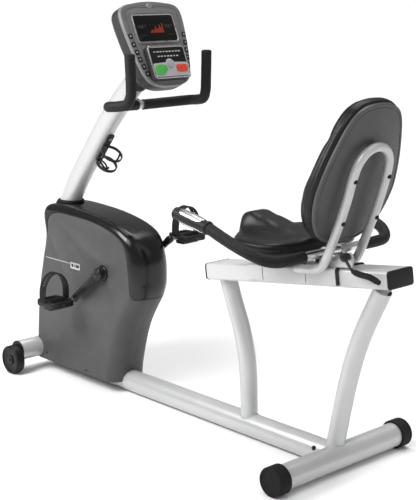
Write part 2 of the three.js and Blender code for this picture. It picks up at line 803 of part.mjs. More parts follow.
// ---- handlebar in front of the rider ----
function addFrontHandlebar() {
  const leftHalf = [
    [-119, -158, 1152],
    [-118, -155, 1062],
    [-120, -155, 1030],
    [-133, -158, 1006],
    [-167, -164, 997],
    [-205, -169, 993],
    [-228, -155, 990],
    [-246, -120, 987],
    [-262, -60, 984],
  ];
  const path = [...leftHalf, [-268, 0, 983], ...mirrored(leftHalf).reverse()];
  const stem = rod([-268, 0, 983], [-352, 0, 991], 15, 16);
  const tube = bar(path, BAR_R, 8, 30).add(stem).subtract(mastSolid(TUBE_R));
  add("handlebar_front", largest(tube), 0xc9cbcd, SHINE.metal, 0.6);
  const bore = bar(path, BAR_R + FIT_GAP + 0.2, 8, 30);
  for (const [side, sign] of sideNames) {
    const half = sign < 0 ? leftHalf : mirrored(leftHalf);
    const endCap = [half[0][0], half[0][1], half[0][2] + 5];
    const foam = bar([endCap, ...half.slice(0, -1), [-265, sign * 16, 983.4]], FOAM_R, 8, 14);
    const sleeve = without(foam, bore, mastSolid(TUBE_R));
    add("foam_grip_front_" + side, sleeve, 0x2b2c2e, SHINE.soft);
  }
}

// ---- bottle cage on the mast ----
function addBottleCage() {
  const lean = Math.atan2(0.624, 0.781);
  const place = frame(
    [Math.cos(lean), 0, -Math.sin(lean)],
    [0, 1, 0],
    [Math.sin(lean), 0, Math.cos(lean)],
    [-478, 0, 851],
  );
  const spine = box([36.4, -14, -60], [43, 14, 58], place);
  const bottleAxis = place.clone().multiply(new THREE.Matrix4().makeTranslation(78, 0, 0));
  const hoop = (z0, z1) =>
    slab(circle(37, 14), z0, z1, bottleAxis).subtract(
      slab(circle(33.5, 14), z0 - 5, z1 + 5, bottleAxis),
    );
  const floor = box([40, -10, -60], [90, 10, -55], place);
  const lip = box([84, -10, -60], [90, 10, -46], place);
  const posts = [-1, 1].map((sign) =>
    box([74, sign * 35.3 - 2, -40], [83, sign * 35.3 + 2, 8], place),
  );
  const wires = union(spine, hoop(-44, -34), hoop(4, 13), floor, lip, ...posts);
  const cage = without(wires, mastSolid(TUBE_R));
  add("bottle_cage", largest(cage), BLACK, SHINE.plastic);
}

// ---- seat ----
const SEAT_PLAN_HALF = [
  [522, 0],
  [520, 120],
  [510, 165],
  [482, 190],
  [430, 197],
  [380, 190],
  [338, 162],
  [300, 120],
  [266, 76],
  [242, 36],
  [234, 0],
];
const seatPlan = (scale) => {
  const middle = 385;
  const half = SEAT_PLAN_HALF.map(([x, y]) => [middle + (x - middle) * scale, y * scale]);
  return half.concat(half.slice(1, -1).map(([x, y]) => [x, -y]).reverse());
};
const level = (z) => new THREE.Matrix4().makeTranslation(0, 0, z);

function addSeat() {
  const base = slab(seatPlan(1), 0, 34, level(SEAT_BASE_Z), 14, 2);
  const ridge = plate(
    [
      [250, 644],
      [490, 644],
      [484, 676],
      [400, 690],
      [330, 704],
      [276, 717],
      [250, 711],
      [237, 690],
      [236, 660],
    ],
    -44,
    44,
    13,
  );
  add("seat_cushion", base.add(ridge), BLACK, SHINE.soft);
  const pan = slab(seatPlan(0.86), 0, 17, level(SEAT_BASE_Z - 17 - FIT_GAP), 6, 2);
  add("seat_pan", pan, 0x1f2022, SHINE.plastic);
}

const CARRIAGE = { from: 190, to: 546, wall: 4, clear: 0.8 };
const LEVER_PIVOT = { x: 668, z: 646 };

function addCarriage() {
  const { from, to, wall, clear } = CARRIAGE;
  const inner = { half: RAIL.half + clear, top: RAIL.high / 2 + clear };
  const outerBox = box(
    [from, -inner.half - wall, -14],
    [to, inner.half + wall, inner.top + wall],
    railFrame,
  );
  const innerBox = box([from - 5, -inner.half, -30], [to + 5, inner.half, inner.top], railFrame);
  const channel = outerBox.subtract(innerBox);
  const panUnder = SEAT_BASE_Z - 17 - 2 * FIT_GAP;
  const risers = [325, 470].flatMap((x) => [
    box([x, -46, 560], [x + 34, -38, panUnder]),
    box([x, 38, 560], [x + 34, 46, panUnder]),
  ]);
  const saddles = [-1, 1].map((sign) =>
    box([558, sign * 30 - 12, 580], [584, sign * 30 + 12, 640]),
  );
  const lug = plate(
    [
      [600, 595],
      [680, 605],
      [682, 650],
      [668, 658],
      [655, 650],
      [600, 612],
    ],
    -47,
    -39,
  );
  const pin = rod([LEVER_PIVOT.x, -74, LEVER_PIVOT.z], [LEVER_PIVOT.x, -42, LEVER_PIVOT.z], 5, 16);
  const railSpace = box([-50, -inner.half, -60], [900, inner.half, inner.top], railFrame);
  const handleCut = rod(
    [HANDLE_BACK.x, -90, HANDLE_BACK.z],
    [HANDLE_BACK.x, 90, HANDLE_BACK.z],
    BAR_R + 1.5,
    16,
  );
  const body = union(channel, without(union(...risers, ...saddles, lug), railSpace), pin);
  add("seat_carriage", largest(body.subtract(handleCut)), 0xb9bbbd, SHINE.paint);
}

function addSeatHandlebar() {
  const leftHalf = [
    [232, -HANDLE_Y, 734],
    [296, -HANDLE_Y, 723],
    [367, -HANDLE_Y, 709],
    [425, -HANDLE_Y, 690],
    [482, -279, 673],
    [520, -272, 661],
    [548, -254, 648],
    [566, -226, 641],
    [HANDLE_BACK.x, -185, HANDLE_BACK.z],
    [HANDLE_BACK.x, -100, HANDLE_BACK.z],
  ];
  const path = [...leftHalf, ...mirrored(leftHalf).reverse()];
  const steps = 30;
  const tube = bar(path, BAR_R, 8, steps);
  add("seat_handlebar", tube, 0xc6c8ca, SHINE.metal, 0.7);
  const bore = bar(path, BAR_R + FIT_GAP + 0.2, 8, steps);
  for (const [side, sign] of sideNames) {
    const half = sign < 0 ? leftHalf : mirrored(leftHalf);
    const foamStart = [367, sign * HANDLE_Y, 709.2];
    const foamEnd = [HANDLE_BACK.x, sign * 128, HANDLE_BACK.z];
    const foamPath = [foamStart, ...half.slice(3, 9), foamEnd];
    const foam = bar(foamPath, FOAM_R, 8, 13).subtract(bore);
    add("foam_grip_seat_" + side, foam, 0x2b2c2e, SHINE.soft);
    addPulseGrip(side, sign, bore);
  }
}

// A hand grip with contact plates that reads the pulse, at the end of each seat handle.
function addPulseGrip(side, sign, bore) {
  const start = new THREE.Vector3(362, HANDLE_Y * sign, 710.2);
  const end = new THREE.Vector3(223, HANDLE_Y * sign, 735.7);
  const length = start.distanceTo(end);
  const turn = new THREE.Quaternion().setFromUnitVectors(
    new THREE.Vector3(0, 1, 0),
    end.clone().sub(start).normalize(),
  );
  const place = new THREE.Matrix4().compose(start, turn, new THREE.Vector3(1, 1, 1));
  const profile = [
    [0, 1],
    [19, 1],
    [20, 6],
    [18, 16],
    [21, 60],
    [18, length - 10],
    [0, length],
  ];
  add("pulse_grip_" + side, turned(profile, place, 12).subtract(bore), BLACK, SHINE.plastic);
}

function addLever() {
  const barrel = rod([LEVER_PIVOT.x, -72, LEVER_PIVOT.z], [LEVER_PIVOT.x, -48, LEVER_PIVOT.z], 10, 16);
  const shank = bar(
    [
      [LEVER_PIVOT.x, -66, LEVER_PIVOT.z],
      [680, -67, 634],
      [698, -69, 617],
      [716, -71, 611],
    ],
    4.5,
    6,
    5,
  );
  const grip = bar(
    [
      [706, -70, 614],
      [730, -72, 611],
      [765, -74, 610],
      [800, -76, 601],
    ],
    8,
    8,
    5,
  );
  const bore = rod([LEVER_PIVOT.x, -80, LEVER_PIVOT.z], [LEVER_PIVOT.x, -40, LEVER_PIVOT.z], 5.5, 16);
  add("seat_lever", union(barrel, shank, grip).subtract(bore), BLACK, SHINE.plastic);
}

// ---- backrest ----
const backFrame = frame(
  [0, 1, 0],
  [Math.sin(BACK_LEAN), 0, Math.cos(BACK_LEAN)],
  [Math.cos(BACK_LEAN), 0, -Math.sin(BACK_LEAN)],
  BACK_ORIGIN,
);
const BACK_HALF = [
  [0, -146],
  [62, -142],
  [104, -122],
  [136, -88],
  [156, -44],
  [166, 8],
  [163, 48],
  [150, 112],
  [133, 166],
  [113, 216],
  [91, 248],
  [56, 268],
  [0, 275],
];

function addBackrest() {
  const outline = symmetric(BACK_HALF);
  add("back_cushion", slab(outline, -74, -10, backFrame, 24, 2), BLACK, SHINE.soft);
  const shellOutline = symmetric(BACK_HALF.map(([x, y]) => [x * 0.96, y * 0.97 + 1]));
  const panel = slab(shellOutline, -10 + FIT_GAP, 0, backFrame, 4, 2);
  const tubePath = backTubePath();
  add("back_panel", panel.subtract(bar(tubePath, BAR_R + FIT_GAP, 8, 32)), 0x77797c, SHINE.plastic);
  add("back_tube", largest(bar(tubePath, BAR_R, 8, 32)), 0xd0d2d4, SHINE.paint);
}

function backTubePath() {
  const leg = [
    [500, -70.3, 588],
    [560, -70.3, 596],
    [592, -70.3, 608],
    [612, -70.3, 640],
    [633, -70.3, 690],
    [656, -70.3, 745],
    [680, -70.3, 812],
    [696, -70.3, 866],
    [708, -62, 906],
    [716, -38, 934],
    [719, 0, 945],
  ];
  return [...leg, ...mirrored(leg.slice(0, -1)).reverse()];
}

addBaseFrame();
addSeatPosts();
addRail();
addRearFeet();
addTransportWheels();
addMast();
addShroud();
addInnerFrame();
addFlywheel();
addBrake();
addCranks();
addConsole();
addFrontHandlebar();
addBottleCage();
addSeat();
addCarriage();
addSeatHandlebar();
addLever();
addBackrest();

export default group;
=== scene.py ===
"""Looks of a recumbent exercise bike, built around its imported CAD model.

Lengths are millimetres while a shape is being made and metres once it is an object.
+X runs from the console to the seat's end, +Y is the rider's right and +Z is up.
"""
import json
import math

import bmesh
import bpy
from mathutils import Matrix, Vector


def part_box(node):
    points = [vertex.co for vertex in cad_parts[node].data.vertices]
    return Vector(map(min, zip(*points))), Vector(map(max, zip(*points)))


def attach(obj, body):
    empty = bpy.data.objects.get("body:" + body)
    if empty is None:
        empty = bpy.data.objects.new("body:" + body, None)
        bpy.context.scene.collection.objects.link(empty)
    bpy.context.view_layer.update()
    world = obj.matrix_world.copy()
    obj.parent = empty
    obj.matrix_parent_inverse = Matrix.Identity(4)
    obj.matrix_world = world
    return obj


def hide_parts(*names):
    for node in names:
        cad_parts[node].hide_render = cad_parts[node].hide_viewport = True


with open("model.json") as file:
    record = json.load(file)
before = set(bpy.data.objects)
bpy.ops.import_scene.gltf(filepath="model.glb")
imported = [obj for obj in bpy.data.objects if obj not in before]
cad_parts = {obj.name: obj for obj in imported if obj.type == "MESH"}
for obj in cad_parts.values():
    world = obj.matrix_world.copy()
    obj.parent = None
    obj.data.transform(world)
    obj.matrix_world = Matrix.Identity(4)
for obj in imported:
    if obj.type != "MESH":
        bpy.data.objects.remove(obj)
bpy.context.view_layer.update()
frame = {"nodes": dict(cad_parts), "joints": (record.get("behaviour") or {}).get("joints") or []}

MM = 0.001
SIDES = (("left", -1), ("right", 1))
JOINTS = {joint["name"]: joint for joint in frame["joints"]}


# ---------------------------------------------------------------- measures from the frame
def node_box(node):
    """Lowest and highest corner of a CAD node, in millimetres."""
    low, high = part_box(node)
    return low / MM, high / MM


def middle(node):
    low, high = node_box(node)
    return (low + high) / 2


def joint_place(name):
    return Vector(JOINTS[name]["pos_m"]) / MM


BEAM_LOW, BEAM_HIGH = node_box("main_beam")
TUBE_R = (BEAM_HIGH.y - BEAM_LOW.y) / 2
BEAM_Z = middle("main_beam").z
FRONT_TUBE = middle("front_stabilizer")
REAR_TUBE = middle("rear_stabilizer")
REAR_HALF = node_box("rear_stabilizer")[1].y
FRONT_HALF = node_box("front_stabilizer")[1].y
CRANK = joint_place("crank_spin")
ARM_LENGTH = (joint_place("pedal_spin_left") - CRANK).length
RAIL_DIRECTION = Vector(JOINTS["seat_slide"]["axis"]).normalized()
RAIL_START = Vector((100.5, 0, 504.5))
RAIL_LENGTH = 719.4
RAIL_HALF = 52.2
RAIL_HIGH = 50.6
BAR_R = 12.7
FOAM_R = 16.5
CONSOLE_ORIGIN = Vector((-161, 0, 1179.5))
CONSOLE_LEAN = math.atan2(0.4038, 0.9149)
BACK_ORIGIN = Vector((647, 0, 804))
BACK_LEAN = math.radians(18.3)


# ---------------------------------------------------------------- frames
def frame_of(x_axis, y_axis, z_axis, origin=(0, 0, 0)):
    turned = Matrix((Vector(x_axis), Vector(y_axis), Vector(z_axis))).transposed().to_4x4()
    turned.translation = Vector(origin)
    return turned


def across(x, z, sign=1):
    """Local z runs outwards along sign times Y."""
    return frame_of((1, 0, 0), (0, 0, -sign), (0, sign, 0), (x, 0, z))


def aimed(origin, direction):
    turned = Vector(direction).to_track_quat("Z", "Y").to_matrix().to_4x4()
    turned.translation = Vector(origin)
    return turned


RAIL_FRAME = frame_of(
    RAIL_DIRECTION, (0, 1, 0), RAIL_DIRECTION.cross(Vector((0, 1, 0))), RAIL_START
)
# Its x and y are the rail's width and height, its z runs along the rail.
RAIL_SECTION = RAIL_FRAME @ frame_of((0, 1, 0), (0, 0, 1), (1, 0, 0))
CONSOLE = frame_of(
    (0, 1, 0),
    (-math.sin(CONSOLE_LEAN), 0, math.cos(CONSOLE_LEAN)),
    (math.cos(CONSOLE_LEAN), 0, math.sin(CONSOLE_LEAN)),
    CONSOLE_ORIGIN,
)
BACK = frame_of(
    (0, 1, 0),
    (math.sin(BACK_LEAN), 0, math.cos(BACK_LEAN)),
    (math.cos(BACK_LEAN), 0, -math.sin(BACK_LEAN)),
    BACK_ORIGIN,
)
UPRIGHT = frame_of((1, 0, 0), (0, 0, 1), (0, -1, 0))


# ---------------------------------------------------------------- materials
def linear(level):
    """A display grey or colour level from 0 to 1, as light."""
    return level / 12.92 if level <= 0.04045 else ((level + 0.055) / 1.055) ** 2.4


def grey(level, tint=(1, 1, 1)):
    return tuple(linear(level * part) for part in tint) + (1,)


class Look:
    """Builds one node material step by step."""

    def __init__(self, name, colour, roughness, metallic=0.0, specular=0.5, coat=0.0):
        self.material = bpy.data.materials.new(name)
        self.material.use_nodes = True
        self.nodes = self.material.node_tree.nodes
        self.links = self.material.node_tree.links
        self.shader = self.nodes["Principled BSDF"]
        self.shader.inputs["Metallic"].default_value = metallic
        self.shader.inputs["Specular IOR Level"].default_value = specular
        self.shader.inputs["Coat Weight"].default_value = coat
        self.shader.inputs["Coat Roughness"].default_value = 0.12
        self.where = self.nodes.new("ShaderNodeTexCoord").outputs["Object"]
        self.colour = colour
        self.roughness = roughness
        self.bump = None
        self.shader.inputs["Base Color"].default_value = colour
        self.shader.inputs["Roughness"].default_value = roughness

    def stretched(self, stretch):
        mapping = self.nodes.new("ShaderNodeMapping")
        mapping.inputs["Scale"].default_value = stretch
        self.links.new(self.where, mapping.inputs["Vector"])
        return mapping.outputs["Vector"]

    def noise(self, scale, detail=3, stretch=None):
        texture = self.nodes.new("ShaderNodeTexNoise")
        texture.inputs["Scale"].default_value = scale
        texture.inputs["Detail"].default_value = detail
        place = self.stretched(stretch) if stretch else self.where
        self.links.new(place, texture.inputs["Vector"])
        return texture.outputs["Fac"]

    def cells(self, scale, feature="F1", stretch=None):
        texture = self.nodes.new("ShaderNodeTexVoronoi")
        texture.feature = feature
        texture.inputs["Scale"].default_value = scale
        place = self.stretched(stretch) if stretch else self.where
        self.links.new(place, texture.inputs["Vector"])
        return texture.outputs["Distance"]

    def spread(self, value, low, high, start=0.3, end=0.7):
        """The value's range from start to end, mapped to low to high."""
        node = self.nodes.new("ShaderNodeMapRange")
        node.inputs["From Min"].default_value = start
        node.inputs["From Max"].default_value = end
        node.inputs["To Min"].default_value = low
        node.inputs["To Max"].default_value = high
        self.links.new(value, node.inputs["Value"])
        return node.outputs["Result"]

    def mottle(self, scale, amount, detail=3, stretch=None):
        """Uneven colour, from a little darker to a little lighter."""
        mix = self.nodes.new("ShaderNodeMix")
        mix.data_type = "RGBA"
        mix.inputs["A"].default_value = tuple(c * (1 - amount) for c in self.colour[:3]) + (1,)
        mix.inputs["B"].default_value = tuple(c * (1 + amount) for c in self.colour[:3]) + (1,)
        factor = self.spread(self.noise(scale, detail, stretch), 0, 1)
        self.links.new(factor, mix.inputs["Factor"])
        self.links.new(mix.outputs["Result"], self.shader.inputs["Base Color"])
        return self

    def edge_wear_and_highlight(self, colour, start, end):
        """A second colour over convex edges: partly wear where hands and cloths rub, partly a painted
        highlight along the rims.
        """
        geometry = self.nodes.new("ShaderNodeNewGeometry")
        mix = self.nodes.new("ShaderNodeMix")
        mix.data_type = "RGBA"
        base = self.shader.inputs["Base Color"]
        if base.is_linked:
            self.links.new(base.links[0].from_socket, mix.inputs["A"])
        else:
            mix.inputs["A"].default_value = self.colour
        mix.inputs["B"].default_value = colour
        factor = self.spread(geometry.outputs["Pointiness"], 0, 1, start, end)
        self.links.new(factor, mix.inputs["Factor"])
        self.links.new(mix.outputs["Result"], base)
        return self

    def smudged(self, scale, amount, detail=4):
        """Uneven gloss."""
        value = self.spread(
            self.noise(scale, detail), self.roughness - amount, self.roughness + amount
        )
        self.links.new(value, self.shader.inputs["Roughness"])
        return self

    def bumped(self, height, distance, strength=1.0):
        """Adds a relief that is distance millimetres deep."""
        node = self.nodes.new("ShaderNodeBump")
        node.inputs["Distance"].default_value = distance * MM
        node.inputs["Strength"].default_value = strength
        self.links.new(height, node.inputs["Height"])
        if self.bump:
            self.links.new(self.bump, node.inputs["Normal"])
        self.bump = node.outputs["Normal"]
        self.links.new(self.bump, self.shader.inputs["Normal"])
        return self


def paint(name, colour, roughness=0.36, metallic=0.25, specular=0.5):
    """Powder coat: a faint orange peel over fine flakes."""
    look = Look(name, colour, roughness, metallic, specular, coat=0.15)
    look.mottle(9, 0.02).smudged(14, 0.05)
    look.bumped(look.noise(420, 2), 0.05, 0.5)
    return look.bumped(look.noise(2600, 1), 0.012, 0.5).material


def plastic(name, colour, roughness, grain=1500, depth=0.05, specular=0.25, edge=0.06):
    """Moulded plastic with a spark-eroded grain and slightly brighter edges, a painted highlight along the
    rims with some rub wear.
    """
    look = Look(name, colour, roughness, specular=specular)
    look.mottle(22, 0.07).smudged(30, 0.05)
    lighter = tuple(min(1, c * 1.6 + 0.004) for c in colour[:3]) + (1,)
    # Lighter rims: a painted highlight plus rub wear.
    look.edge_wear_and_highlight(lighter, 0.53, 0.53 + 5 * edge)
    return look.bumped(look.noise(grain, 2), depth, 0.6).material


def foam_rubber():
    """A closed-cell foam sleeve: small pores and a dusty bloom."""
    look = Look("foam_sleeve", grey(0.11), 0.62, specular=0.2)
    look.mottle(60, 0.16).smudged(80, 0.08)
    look.bumped(look.cells(1150), 0.16, 0.8)
    return look.bumped(look.noise(300, 3), 0.12, 0.5).material


def vinyl():
    """Upholstery vinyl with a pebbled leather grain."""
    look = Look("black_vinyl", grey(0.075), 0.38, specular=0.28)
    look.mottle(18, 0.12).smudged(26, 0.07)
    # Lighter convex edges: rub wear plus a painted highlight along the rolled rims.
    look.edge_wear_and_highlight(grey(0.16), 0.52, 0.72)
    look.bumped(look.cells(520, "SMOOTH_F1"), 0.22, 0.55)
    return look.bumped(look.noise(34, 4), 0.5, 0.35).material


def brushed(name, colour, roughness, along):
    """Metal with fine scratches; along is small in the direction that they run."""
    look = Look(name, colour, roughness, 1.0)
    look.mottle(160, 0.05, 3, along).smudged(50, 0.06)
    return look.bumped(look.noise(900, 3, along), 0.02, 0.7).material


def rubber(name, level, roughness=0.7):
    look = Look(name, grey(level), roughness, specular=0.2)
    look.mottle(40, 0.15).smudged(50, 0.08)
    # Lighter convex edges: rub wear plus a painted highlight along the rims.
    look.edge_wear_and_highlight(grey(level + 0.06), 0.52, 0.75)
    return look.bumped(look.noise(900, 3), 0.07, 0.7).material


def glowing(name, colour, strength, roughness=0.3):
    """A translucent key or a lit segment with a fine diffusing pattern."""
    look = Look(name, colour, roughness, specular=0.3)
    look.shader.inputs["Emission Color"].default_value = colour
    look.shader.inputs["Emission Strength"].default_value = strength
    look.mottle(140, 0.12).smudged(60, 0.05)
    return look.bumped(look.noise(1200, 2), 0.03, 0.5).material


def tinted_lens():
    look = Look("tinted_lens", grey(0.035), 0.12, specular=0.3)
    look.mottle(60, 0.2).smudged(24, 0.03)
    return look.bumped(look.noise(30, 2), 0.02, 0.3).material


def floor_paint():
    look = Look("studio_floor", grey(0.975), 0.85, specular=0.2)
    look.mottle(0.7, 0.006).smudged(3, 0.04)
    return look.bumped(look.noise(60, 3), 0.05, 0.2).material


SILVER = paint("silver_paint", grey(0.74, (0.997, 1, 1.0)), 0.34, 0.3)
RAIL_PAINT = paint("rail_paint", grey(0.76), 0.42, 0.1)
GREY_PAINT = paint("grey_primer", grey(0.47), 0.5, 0.0)
BLACK_PAINT = paint("black_paint", grey(0.09), 0.3, 0.0, 0.3)
SHROUD_GREY = plastic("shroud_grey", grey(0.275), 0.42, 1300, 0.05, 0.25, edge=0.09)
COVER_BLACK = plastic("cover_black", grey(0.055), 0.2, 1900, 0.012, 0.42)
CONSOLE_GREY = plastic("console_grey", grey(0.42), 0.36, 1700, 0.03, 0.45)
CONSOLE_DARK = plastic("console_dark", grey(0.17), 0.4, 1500, 0.05)
TRIM_SILVER = brushed("trim_silver", grey(0.74), 0.3, (1, 0.08, 1))
TEXTURED_BLACK = plastic("textured_black", grey(0.085), 0.5, 1100, 0.1)
GLOSS_BLACK = plastic("gloss_black", grey(0.06), 0.28, 1900, 0.02, 0.4)
PANEL_GREY = plastic("back_panel_grey", grey(0.285), 0.4, 1200, 0.06, 0.3, edge=0.08)
OVERLAY_BLACK = plastic("overlay_black", grey(0.08), 0.32, 1800, 0.015)
KEYPAD_GREY = plastic("keypad_grey", grey(0.68, (0.99, 0.98, 1.0)), 0.4, 1700, 0.02)
LEGEND_GREY = plastic("legend_grey", grey(0.72), 0.5, 1700, 0.02)
PAD_LILAC = plastic("pad_lilac", grey(0.63, (0.99, 0.98, 1.04)), 0.35, 1700, 0.03)
FOAM = foam_rubber()
VINYL = vinyl()
RUBBER = rubber("black_rubber", 0.085)
TYRE = rubber("wheel_rubber", 0.08, 0.5)
BELT_RUBBER = rubber("belt_rubber", 0.1, 0.8)
ALUMINIUM = brushed("brushed_aluminium", grey(0.87), 0.26, (1, 0.05, 1))
STEEL = brushed("machined_steel", grey(0.68), 0.3, (0.06, 1, 1))
CAST_IRON = brushed("turned_iron", grey(0.45), 0.42, (1, 0.06, 1))
LENS = tinted_lens()
GREEN = glowing("green_key", (0.06, 0.36, 0.07, 1), 0.12)
RED = glowing("red_key", (0.55, 0.05, 0.03, 1), 0.15)
LED_RED = glowing("led_red", (0.30, 0.035, 0.02, 1), 0.35)
LED_DIM = glowing("led_dim", (0.10, 0.07, 0.06, 1), 0.25)
LED_GREEN = glowing("led_green", (0.02, 0.07, 0.025, 1), 0.2)


# ---------------------------------------------------------------- making pieces
def finish_mesh(obj, material, body, replaces=(), sharp=40):
    mesh = obj.data
    mesh.materials.clear()
    mesh.materials.append(material)
    mesh.polygons.foreach_set("use_smooth", [True] * len(mesh.polygons))
    mesh.set_sharp_from_angle(angle=math.radians(sharp))
    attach(obj, body)
    if replaces:
        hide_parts(*replaces)
    return obj


def raw_piece(name, solid, place=None):
    """An object in metres from (vertices, faces) in millimetres."""
    vertices, faces = solid
    mesh = bpy.data.meshes.new(name)
    mesh.from_pydata([Vector(v) for v in vertices], [], faces)
    if place is not None:
        mesh.transform(place)
    mesh.transform(Matrix.Scale(MM, 4))
    work = bmesh.new()
    work.from_mesh(mesh)
    bmesh.ops.remove_doubles(work, verts=work.verts, dist=0.00001)
    bmesh.ops.recalc_face_normals(work, faces=work.faces)
    work.to_mesh(mesh)
    work.free()
    obj = bpy.data.objects.new(name, mesh)
    bpy.context.scene.collection.objects.link(obj)
    return obj


def piece(name, solid, material, body, replaces=(), place=None, sharp=40):
    return finish_mesh(raw_piece(name, solid, place), material, body, replaces, sharp)


def joined(*solids):
    vertices, faces = [], []
    for more, their_faces in solids:
        start = len(vertices)
        vertices.extend(Vector(v) for v in more)
        faces.extend([start + i for i in face] for face in their_faces)
    return vertices, faces


def moved(solid, place):
    return [place @ Vector(v) for v in solid[0]], solid[1]


def evaluated(obj):
    """The object's mesh with its modifiers applied."""
    graph = bpy.context.evaluated_depsgraph_get()
    mesh = bpy.data.meshes.new_from_object(obj.evaluated_get(graph))
    obj.modifiers.clear()
    obj.data = mesh
    return obj


def boolean(obj, cutter, operation="DIFFERENCE"):
    """Cuts or crops obj by a cutter object, which is then removed."""
    modifier = obj.modifiers.new("cut", "BOOLEAN")
    modifier.operation = operation
    modifier.solver = "EXACT"
    modifier.object = cutter
    evaluated(obj)
    bpy.data.objects.remove(cutter)
    return obj


def softened(obj, width, segments=2, angle=35):
    """Rounds the edges that turn by more than the angle."""
    modifier = obj.modifiers.new("soften", "BEVEL")
    modifier.width = width * MM
    modifier.segments = segments
    modifier.limit_method = "ANGLE"
    modifier.angle_limit = math.radians(angle)
    modifier.use_clamp_overlap = True
    return evaluated(obj)


# ---------------------------------------------------------------- lines and outlines
def smooth_line(points, steps=8):
    """A centripetal Catmull-Rom curve through the points."""
    given = [Vector(p) for p in points]
    ends = [2 * given[0] - given[1]] + given + [2 * given[-1] - given[-2]]
    line = []
    for i in range(1, len(ends) - 2):
        p0, p1, p2, p3 = ends[i - 1 : i + 3]
        d0, d1, d2 = (math.sqrt((b - a).length) for a, b in ((p0, p1), (p1, p2), (p2, p3)))
        t1 = ((p1 - p0) / d0 - (p2 - p0) / (d0 + d1) + (p2 - p1) / d1) * d1
        t2 = ((p2 - p1) / d1 - (p3 - p1) / (d1 + d2) + (p3 - p2) / d2) * d1
        for k in range(steps):
            t = k / steps
            h1 = 2 * t**3 - 3 * t**2 + 1
            h2 = t**3 - 2 * t**2 + t
            h3 = -2 * t**3 + 3 * t**2
            h4 = t**3 - t**2
            line.append(h1 * p1 + h2 * t1 + h3 * p2 + h4 * t2)
    line.append(given[-1])
    return line


def smooth_loop(points, steps=6):
    """A closed Catmull-Rom outline through 2-D points."""
    given = [Vector((p[0], p[1], 0)) for p in points]
    wrapped = given[-2:] + given + given[:3]
    line = smooth_line(wrapped, steps)
    start = 2 * steps
    return [(p.x, p.y) for p in line[start : start + len(given) * steps]]


def circle(radius, count, start=0.0):
    turn = 2 * math.pi / count
    return [
        (radius * math.cos(start + i * turn), radius * math.sin(start + i * turn))
        for i in range(count)
    ]


def rounded(half_wide, low, high, radius, corner=6):
    centres = (
        (half_wide - radius, low + radius, -90),
        (half_wide - radius, high - radius, 0),
        (-half_wide + radius, high - radius, 90),
        (-half_wide + radius, low + radius, 180),
    )
    points = []
    for x, y, start in centres:
        for i in range(corner + 1):
            angle = math.radians(start + 90 * i / corner)
            points.append((x + radius * math.cos(angle), y + radius * math.sin(angle)))
    return points


def offset_outline(points, distance):
    """The outline moved inwards by a distance, or by one for each point."""
    count = len(points)
    area = sum(
        points[i][0] * points[(i + 1) % count][1] - points[(i + 1) % count][0] * points[i][1]
        for i in range(count)
    )
    sign = 1 if area > 0 else -1
    result = []
    for i, (x, y) in enumerate(points):
        before = Vector(points[i - 1])
        after = Vector(points[(i + 1) % count])
        here = Vector((x, y))
        first = (here - before).normalized()
        second = (after - here).normalized()
        normal = Vector((-first.y - second.y, first.x + second.x)) * sign
        normal.normalize()
        slant = max(0.35, normal.dot(Vector((-first.y, first.x)) * sign))
        inset = distance[i] if isinstance(distance, (list, tuple)) else distance
        result.append((x + normal.x * inset / slant, y + normal.y * inset / slant))
    return result


# ---------------------------------------------------------------- solids
def stacked(rings):
    """A closed skin over rings of equal length, with a flat face at each end."""
    count = len(rings[0])
    vertices = [Vector(v) for ring in rings for v in ring]
    faces = [list(range(count))[::-1]]
    for level in range(len(rings) - 1):
        start = level * count
        for i in range(count):
            after = (i + 1) % count
            faces.append([start + i, start + after, start + count + after, start + count + i])
    last = (len(rings) - 1) * count
    faces.append(list(range(last, last + count)))
    return vertices, faces


def slab(outline, low, high, edge=0.0, segments=3, bottom_edge=None):
    """An outline raised from low to high along z, with rounded rims."""
    bottom_edge = edge if bottom_edge is None else bottom_edge
    rings = []
    for radius, base, way in ((bottom_edge, low, 1), (edge, high, -1)):
        steps = segments if radius else 0
        rim = []
        for i in range(steps + 1):
            angle = math.pi / 2 * (i / steps if steps else 1)
            inset = radius * (1 - math.sin(angle))
            height = base + way * radius * (1 - math.cos(angle))
            loop = offset_outline(outline, inset) if inset > 1e-6 else outline
            rim.append([(x, y, height) for x, y in loop])
        rings.extend(rim if way > 0 else rim[::-1])
    return stacked(rings)


def lathe(profile, sides=48):
    """Turns (radius, height) points about z. The profile starts and ends on the axis or closes."""
    vertices, faces, rings = [], [], []
    for radius, height in profile:
        if radius < 1e-6:
            rings.append([len(vertices)] * sides)
            vertices.append(Vector((0, 0, height)))
        else:
            rings.append(list(range(len(vertices), len(vertices) + sides)))
            vertices.extend(Vector((x, y, height)) for x, y in circle(radius, sides))
    closed = profile[0][0] > 1e-6
    pairs = list(zip(rings, rings[1:] + rings[:1])) if closed else list(zip(rings, rings[1:]))
    for lower, upper in pairs:
        for i in range(sides):
            after = (i + 1) % sides
            face = []
            for corner in (lower[i], lower[after], upper[after], upper[i]):
                if corner not in face:
                    face.append(corner)
            if len(face) > 2:
                faces.append(face)
    return vertices, faces


def rim_profile(radius, low, high, edge, steps=4):
    """A disc's profile with rounded rims, for lathe."""
    points = [(0, low)]
    for i in range(steps + 1):
        angle = math.pi / 2 * i / steps
        points.append((radius - edge * (1 - math.sin(angle)), low + edge * (1 - math.cos(angle))))
    for i in range(steps + 1):
        angle = math.pi / 2 * (1 - i / steps)
        points.append((radius - edge * (1 - math.sin(angle)), high - edge * (1 - math.cos(angle))))
    points.append((0, high))
    return points


def disc(radius, low, high, edge=0.6, sides=40):
    return lathe(rim_profile(radius, low, high, edge), sides)


